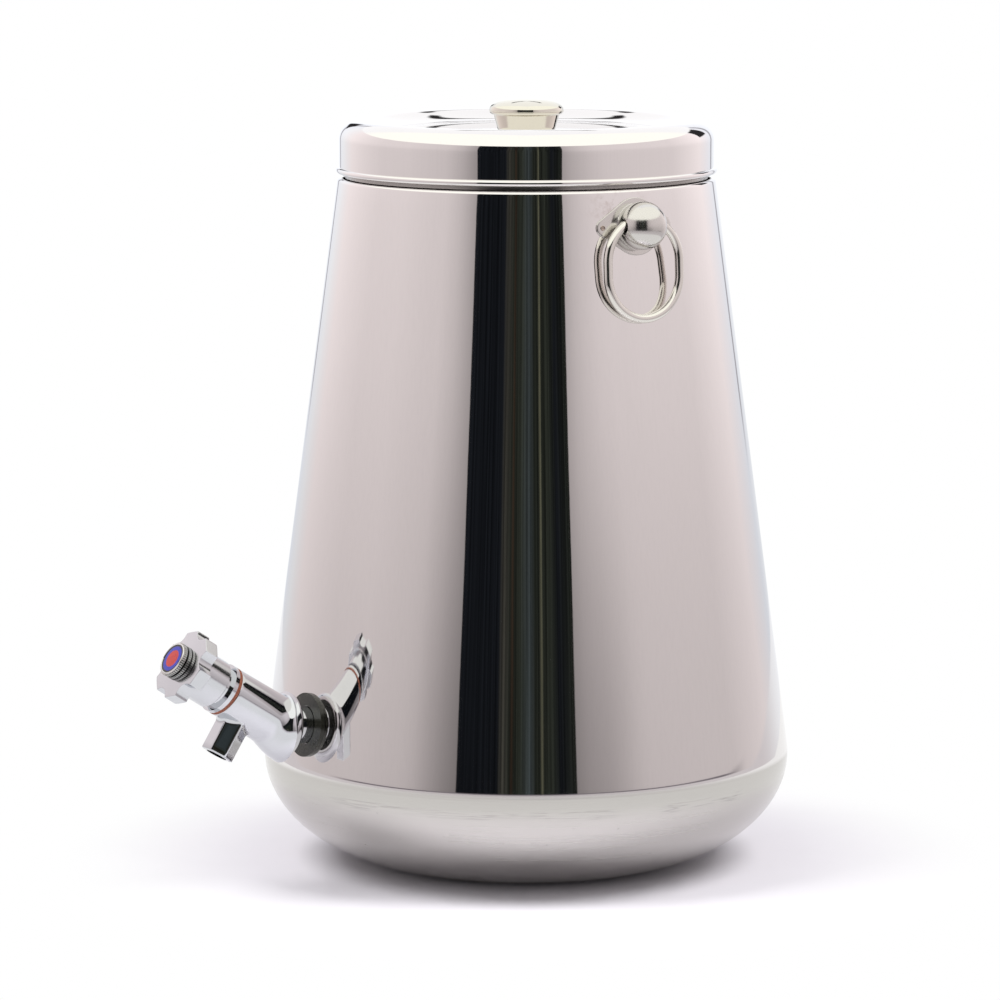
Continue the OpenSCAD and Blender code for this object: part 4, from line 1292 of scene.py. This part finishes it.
def cap_outline(knob):
    """The index cap's closed outline under its knurling, with a recess for the disc."""
    core = knob.cap - knob.ridge_depth
    top = knob.top + knob.cap_height
    middle = knob.top + knob.cap_height / 2
    groove, half, slant = 0.6 * MM, 0.4 * MM, 0.1 * MM
    foot_bevel, top_bevel, rim_bevel = 0.3 * MM, 0.5 * MM, 0.2 * MM
    spigot, spigot_low, recess = 4.1 * MM, knob.top - 2.2 * MM, top - 1.4 * MM
    rim = knob.disc + 0.1 * MM
    side = [(core - foot_bevel, knob.top), (core, knob.top + foot_bevel)]
    side += [(core, middle - half - slant), (core - groove, middle - half)]
    side += [(core - groove, middle + half), (core, middle + half + slant)]
    eased = 0.3 * top_bevel
    side += [(core, top - top_bevel), (core - eased, top - eased), (core - top_bevel, top)]
    inner = [(rim + rim_bevel, top), (rim, top - rim_bevel), (rim, recess), (0, recess)]
    return [(0, spigot_low), (spigot, spigot_low), (spigot, knob.top)] + side + inner


def disc_outline(knob):
    """The index disc's closed outline: a slightly crowned face on a thin body, mapped by radius."""
    sunk, crown, thickness = 0.4 * MM, 0.25 * MM, 1.0 * MM
    top = knob.top + knob.cap_height - sunk
    ways = [i / DISC_RINGS for i in range(DISC_RINGS + 1)]
    face = [(knob.disc * way, top + crown * (1 - way**2)) for way in ways]
    return face + [(knob.disc, top - thickness), (0, top - thickness)]


class CONTAINER_OT_tap_knob(bpy.types.Operator):
    """Build the tap's knob, its knurled index cap and the index disc."""

    bl_idname = "container.tap_knob"
    bl_label = "Build tap knob"

    def execute(self, context):
        knob = context.scene.container_knob
        tap = context.scene.container_tap
        barrel = barrel_place()
        plated = satin_metal(
            "knob_chrome", tap.chrome, polish=0.12, grain=0.002 * MM, stretch=(240, 240, 240)
        )
        mesh = ring_mesh("tap_knob_skin", knob_rows(knob), closed=True)
        handle = new_object("tap_knob_skin", mesh, plated)
        handle.data.transform(barrel)
        settle(handle, "tap_handle", "tap_chrome", "tap_knob")

        # The cap's side between the knurled rows gets painted shade, with some grime, in the disc border's
        # dark colour
        outline = cap_outline(knob)
        start, end = (place / len(outline) for place in CAP_SIDE)
        shade_and_grime = (start, end, knob.border)
        cap_steel = satin_metal(
            "index_cap_steel",
            knob.cap_steel,
            polish=0.12,
            grain=0.004 * MM,
            stretch=(300, 300, 300),
            shade_and_grime=shade_and_grime,
        )
        ridge_steel = satin_metal(
            "knurl_steel", knob.cap_steel, polish=0.3, grain=0.004 * MM, stretch=(300, 300, 300)
        )
        cap = turned("index_cap_skin", outline, cap_steel, CAP_STEPS, barrel)
        settle(cap, "tap_handle", "index_chrome", "index_cap")
        half = knob.cap_height / 2
        row_length, row_start, row_spacing = half - 1.1 * MM, knob.top + 0.45 * MM, half + 0.05 * MM
        values = {
            "Ridges": knob.ridges,
            "Radius": knob.cap - knob.ridge_depth,
            "Depth": knob.ridge_depth,
            "Width": knob.ridge_width,
            "Length": row_length,
            "Row spacing": row_spacing,
            "Material": ridge_steel,
        }
        first = barrel @ Matrix.Translation((0, 0, row_start + row_length / 2))
        knurl = grown("index_cap_knurl", knurl_tree(), values, first)
        settle(knurl, "tap_handle", "index_chrome")

        inlay = enamel("index_enamel", knob)
        disc = turned("index_disc_face", disc_outline(knob), inlay, DISC_STEPS, barrel)
        settle(disc, "tap_handle", "index_colour", "index_disc")
        return {"FINISHED"}


# Stage


class StudioTree(Tree):
    """The studio's tree, with each point's direction from the object's middle and height above the floor."""

    def __init__(self, tree, stage):
        super().__init__(tree)
        position = self.add("ShaderNodeTexCoord").outputs["Object"]
        x, y, z = self.add("ShaderNodeSeparateXYZ", {0: position}).outputs
        self.azimuth = self.maths("ARCTAN2", x, self.times(y, -1.0))
        self.aside = self.maths("ABSOLUTE", self.azimuth)
        self.elevation = self.maths("ARCSINE", self.maths("DIVIDE", z, stage.studio_radius))
        self.height = self.maths("ADD", z, MIDDLE)

    def round_ramp(self, stops):
        """A colour ramp round the studio, from (azimuth in degrees, colour) pairs."""
        around = self.maths("MULTIPLY_ADD", self.azimuth, 0.5 / math.pi, 0.5)
        return self.ramp(around, [((degrees + 180) / 360, tone) for degrees, tone in stops])

    def between(self, value, low, high, soft, unit=DEGREE):
        """1 between two values, with soft edges; in degrees, or in another unit."""
        rise = self.remap(value, (low - soft) * unit, (low + soft) * unit)
        fall = self.remap(value, (high - soft) * unit, (high + soft) * unit, 1.0, 0.0)
        return self.times(rise, fall)

    def shaded(self, tone, value):
        """A colour times a value."""
        even = self.add("ShaderNodeCombineXYZ", {0: value, 1: value, 2: value}).outputs[0]
        return self.mix(1.0, tone, even, "MULTIPLY")


def studio_walls(tree, stage):
    """Pale walls, darker beside the gap and low down, with two thin grey edges at the back."""
    wall = Vector(stage.wall)
    pale, back, far = Vector((0.985, 0.995, 1.03)), Vector((0.92, 0.955, 1.03)), Vector((1.06, 1.08, 1.11))
    left, right = stage.gap_left / DEGREE, stage.gap_right / DEGREE
    shades = {-130: 1.26, -110: 1.12, -96: 1.03, -74: 1.0, -60: 0.93, -47: 0.87, -38: 0.71, left: 0.46}
    shades.update({right: 0.54, right + 5: 0.68, 30: 0.76, 38: 0.87, 47: 0.95, 64: 0.99})
    shades.update({96: 1.04, 110: 1.17, 127: 1.32})
    stops = [(-180, far), (-172, far), (-160, back), (-146, pale)]
    stops += [(degrees, wall * shade) for degrees, shade in shades.items()]
    stops += [(150, back), (172, far), (180, far)]
    lit = tree.remap(tree.height, 0.0, 0.60, 0.80, 1.12)
    beside_gap = tree.remap(tree.aside, 32 * DEGREE, 55 * DEGREE, 1.0, 0.0)
    falloff = tree.times(beside_gap, tree.remap(tree.height, 0.10, 0.45, -0.22, 0.06))
    walls = tree.shaded(tree.round_ramp(stops), tree.maths("ADD", lit, falloff))
    left_edge, right_edge = (-160, -156.5), (149.5, 153)
    edges = [tree.between(tree.azimuth, *edge, 0.5) for edge in (left_edge, right_edge)]
    edges = tree.times(tree.maths("ADD", *edges), tree.remap(tree.height, 0.12, 0.20, 0.0, 0.75))
    walls = tree.mix(edges, walls, rgba((0.30, 0.28, 0.31)))
    return tree.mix(tree.between(tree.azimuth, left, right, 0.25), walls, studio_gap(tree, stage))


def studio_gap(tree, stage):
    """The unlit gap behind the camera: dark, with faint upright streaks of colour."""
    ink, moss = Vector((0.006, 0.007, 0.009)), Vector((0.013, 0.015, 0.012))
    ash, rust = Vector((0.040, 0.039, 0.033)), Vector((0.024, 0.016, 0.011))
    slate, olive = Vector((0.034, 0.042, 0.044)), Vector((0.085, 0.085, 0.058))
    stops = [(0.0, ink), (0.34, ink), (0.38, ash), (0.44, moss), (0.46, rust), (0.475, moss)]
    stops += [(0.53, moss * 1.6), (0.61, slate), (0.66, moss), (0.70, moss), (0.715, olive), (0.73, moss)]
    stops += [(0.80, moss * 1.5), (0.87, ink), (1.0, moss)]
    inputs = {0: tree.azimuth, 1: stage.gap_left, 2: stage.gap_right}
    gap = tree.ramp(tree.add("ShaderNodeMapRange", inputs).outputs[0], stops)
    spot = tree.add("ShaderNodeCombineXYZ", {0: tree.azimuth, 1: tree.elevation}).outputs[0]
    streaks = tree.stretched_noise(spot, (70, 1.6, 1), 4.0, 0.65)
    return tree.shaded(gap, tree.remap(streaks, 0.3, 0.7, 0.5, 2.0))


def studio_material(stage):
    """The studio that the steel reflects, painted by direction from the middle of the object.

    Pale walls stand to both sides with an unlit gap behind the camera, and a bright ceiling with dark slits
    at its corners hangs over them.
    """
    material = bpy.data.materials.new("studio_light")
    material.use_nodes = True
    tree = StudioTree(material.node_tree, stage)
    material.node_tree.nodes.remove(material.node_tree.nodes["Principled BSDF"])
    azimuth, height, soft = tree.azimuth, tree.height, 10 * MM

    cream, white = Vector((1.30, 1.30, 1.22)), Vector((1.19, 1.20, 1.22))
    ceiling = tree.round_ramp(
        [(-180, white), (-134, white), (-120, cream), (120, cream), (134, white), (180, white)]
    )
    over_walls = tree.remap(height, stage.wall_top - soft, stage.wall_top + soft)
    tone = tree.mix(over_walls, studio_walls(tree, stage), ceiling)
    slant = tree.maths("MULTIPLY_ADD", tree.elevation, 0.875, tree.aside)
    # Dark slits: what they are measured by, and their sides and heights in degrees
    slits = (
        (slant, (210.6, 212.8), (37, 48)),
        (azimuth, (131, 144.5), (20, 35)),
        (azimuth, (-164.5, -156), (19, 28)),
    )
    for value, sides, heights in slits:
        slit = tree.times(tree.between(value, *sides, 0.5), tree.between(tree.elevation, *heights, 1.0))
        tone = tree.mix(slit, tone, rgba((0.03, 0.028, 0.03)))

    behind = tree.remap(tree.aside, 115 * DEGREE, 150 * DEGREE)
    table = tree.mix(behind, rgba((0.72, 0.68, 0.70)), rgba((0.93, 0.94, 0.97)))
    tone = tree.mix(tree.remap(height, -soft / 2, soft / 2, 1.0, 0.0), tone, table)
    left_end = tree.remap(azimuth, -92 * DEGREE, -70 * DEGREE)
    right_end = tree.remap(azimuth, 88 * DEGREE, 106 * DEGREE, 1.0, 0.0)
    horizon = tree.times(tree.between(height, 0, 25, 5, MM), tree.times(left_end, right_end))
    tone = tree.mix(horizon, tone, rgba((0.20, 0.18, 0.20)))
    light = tree.add("ShaderNodeEmission", {"Color": tone, "Strength": 1.0}).outputs[0]
    tree.tree.links.new(light, material.node_tree.nodes["Material Output"].inputs["Surface"])
    return material


def seen_plainly(tree):
    """1 where a ray comes from the camera, a mirror or a glass, and 0 where it only carries light."""
    path = tree.add("ShaderNodeLightPath").outputs
    seen = tree.maths("MAXIMUM", path["Is Camera Ray"], path["Is Glossy Ray"])
    return tree.maths("MAXIMUM", seen, path["Is Transmission Ray"])


def floor_material(stage):
    """A pale floor that keeps the object's shadow and runs out to white."""
    material, tree, shader, position = new_material("floor_pale")
    away = tree.add("ShaderNodeVectorMath", {0: position}, operation="LENGTH").outputs["Value"]
    fade_start, fade_end = 0.23 * stage.floor_radius, 0.42 * stage.floor_radius
    grain = tree.stretched_noise(position, (40, 40, 40), 4.0)
    tone = tree.mix(grain, rgba(stage.floor, 0.985), rgba(stage.floor, 1.015))
    link(tree, tone, shader, "Base Color")
    shader.inputs["Roughness"].default_value = 0.9
    shader.inputs["Specular IOR Level"].default_value = 0.0
    white = tree.add("ShaderNodeEmission", {"Color": (1, 1, 1, 1), "Strength": 1.0}).outputs[0]
    factor = tree.times(tree.remap(away, fade_start, fade_end), seen_plainly(tree))
    mixed = tree.add("ShaderNodeMixShader", {0: factor, 1: shader.outputs[0], 2: white}).outputs[0]
    tree.tree.links.new(mixed, material.node_tree.nodes["Material Output"].inputs["Surface"])
    return material


def add_world(stage):
    """Even light from all round, which is plain white where it is seen."""
    world = bpy.data.worlds.new("studio_world")
    bpy.context.scene.world = world
    world.use_nodes = True
    tree = Tree(world.node_tree)
    background = world.node_tree.nodes["Background"]
    strength = tree.remap(seen_plainly(tree), 0.0, 1.0, stage.fill, 1.0)
    background.inputs["Color"].default_value = (1, 1, 1, 1)
    tree.tree.links.new(strength, background.inputs["Strength"])


def add_camera(stage):
    """The camera in front of the object, to the right of the tap."""
    camera = bpy.data.objects.new("camera", bpy.data.cameras.new("camera"))
    bpy.context.scene.collection.objects.link(camera)
    camera.data.lens = stage.lens
    turn = stage.azimuth
    camera.location = (stage.distance * math.sin(turn), -stage.distance * math.cos(turn), stage.height)
    camera.rotation_euler = (math.pi / 2 - stage.pitch, 0, turn + stage.yaw)
    bpy.context.scene.camera = camera


def add_floor(stage):
    """A round floor just below the foot."""
    below = -0.1 * MM
    outline = [(stage.floor_radius * i / FLOOR_RINGS, below) for i in range(FLOOR_RINGS + 1)]
    mesh = ring_mesh("floor", rings(outline, FLOOR_STEPS))
    new_object("floor", mesh, floor_material(stage))


def add_studio(stage):
    """The painted ball round the object, which only its mirror images show."""
    shell = bmesh.new()
    steps = {"u_segments": STUDIO_STEPS, "v_segments": STUDIO_STEPS // 2}
    bmesh.ops.create_uvsphere(shell, radius=stage.studio_radius, **steps)
    mesh = bpy.data.meshes.new("studio")
    shell.to_mesh(mesh)
    shell.free()
    studio = new_object("studio", mesh, studio_material(stage))
    studio.location.z = MIDDLE
    studio.rotation_euler.z = stage.azimuth
    studio.visible_camera = False
    studio.visible_diffuse = False
    studio.visible_shadow = False


def add_lamp(stage, name, side):
    """A round lamp to one side, which no mirror image shows."""
    turn = stage.azimuth + side * stage.lamp_turn
    level = stage.lamp_distance * math.cos(stage.lamp_rise)
    rise = stage.lamp_distance * math.sin(stage.lamp_rise)
    lamp = bpy.data.objects.new(name, bpy.data.lights.new(name, "AREA"))
    bpy.context.scene.collection.objects.link(lamp)
    lamp.data.shape = "DISK"
    lamp.data.size = stage.lamp_size
    lamp.data.energy = stage.lamp_power
    lamp.location = (level * math.sin(turn), -level * math.cos(turn), rise)
    lamp.rotation_euler = (-lamp.location).to_track_quat("-Z", "Y").to_euler()
    lamp.visible_glossy = False


class CONTAINER_OT_stage(bpy.types.Operator):
    """Set the camera, the floor, the studio and the lights."""

    bl_idname = "container.stage"
    bl_label = "Set stage"

    def execute(self, context):
        stage = context.scene.container_stage
        context.scene.view_settings.view_transform = "Standard"
        add_camera(stage)
        add_world(stage)
        add_floor(stage)
        add_studio(stage)
        for name, side in (("lamp_left", -1), ("lamp_right", 1)):
            add_lamp(stage, name, side)
        return {"FINISHED"}


# Panel and registration


class CONTAINER_PT_panel(bpy.types.Panel):
    """Settings and build steps of the water container."""

    bl_idname = "CONTAINER_PT_panel"
    bl_label = "Water container"
    bl_space_type = "VIEW_3D"
    bl_region_type = "UI"
    bl_category = "Container"

    def draw(self, context):
        for step in STEPS:
            self.layout.operator(step.bl_idname)
        for name, group in GROUPS.items():
            box = self.layout.box()
            box.label(text=group.__doc__)
            for field in group.__annotations__:
                box.prop(getattr(context.scene, name), field)


GROUPS = {
    "container_vessel": VesselSettings,
    "container_lid": LidSettings,
    "container_handle": HandleSettings,
    "container_tap": TapSettings,
    "container_knob": KnobSettings,
    "container_stage": StageSettings,
}
STEPS = (
    CONTAINER_OT_stage,
    CONTAINER_OT_vessel,
    CONTAINER_OT_lid,
    CONTAINER_OT_handles,
    CONTAINER_OT_tap,
    CONTAINER_OT_tap_knob,
)


def register():
    for item in (*GROUPS.values(), *STEPS, CONTAINER_PT_panel):
        bpy.utils.register_class(item)
    for name, group in GROUPS.items():
        setattr(bpy.types.Scene, name, PointerProperty(type=group))


def unregister():
    for name in GROUPS:
        delattr(bpy.types.Scene, name)
    for item in (CONTAINER_PT_panel, *reversed(STEPS), *reversed(list(GROUPS.values()))):
        bpy.utils.unregister_class(item)


def main():
    register()
    for step in STEPS:
        group, name = step.bl_idname.split(".")
        getattr(getattr(bpy.ops, group), name)()


if __name__ == "__main__":
    main()
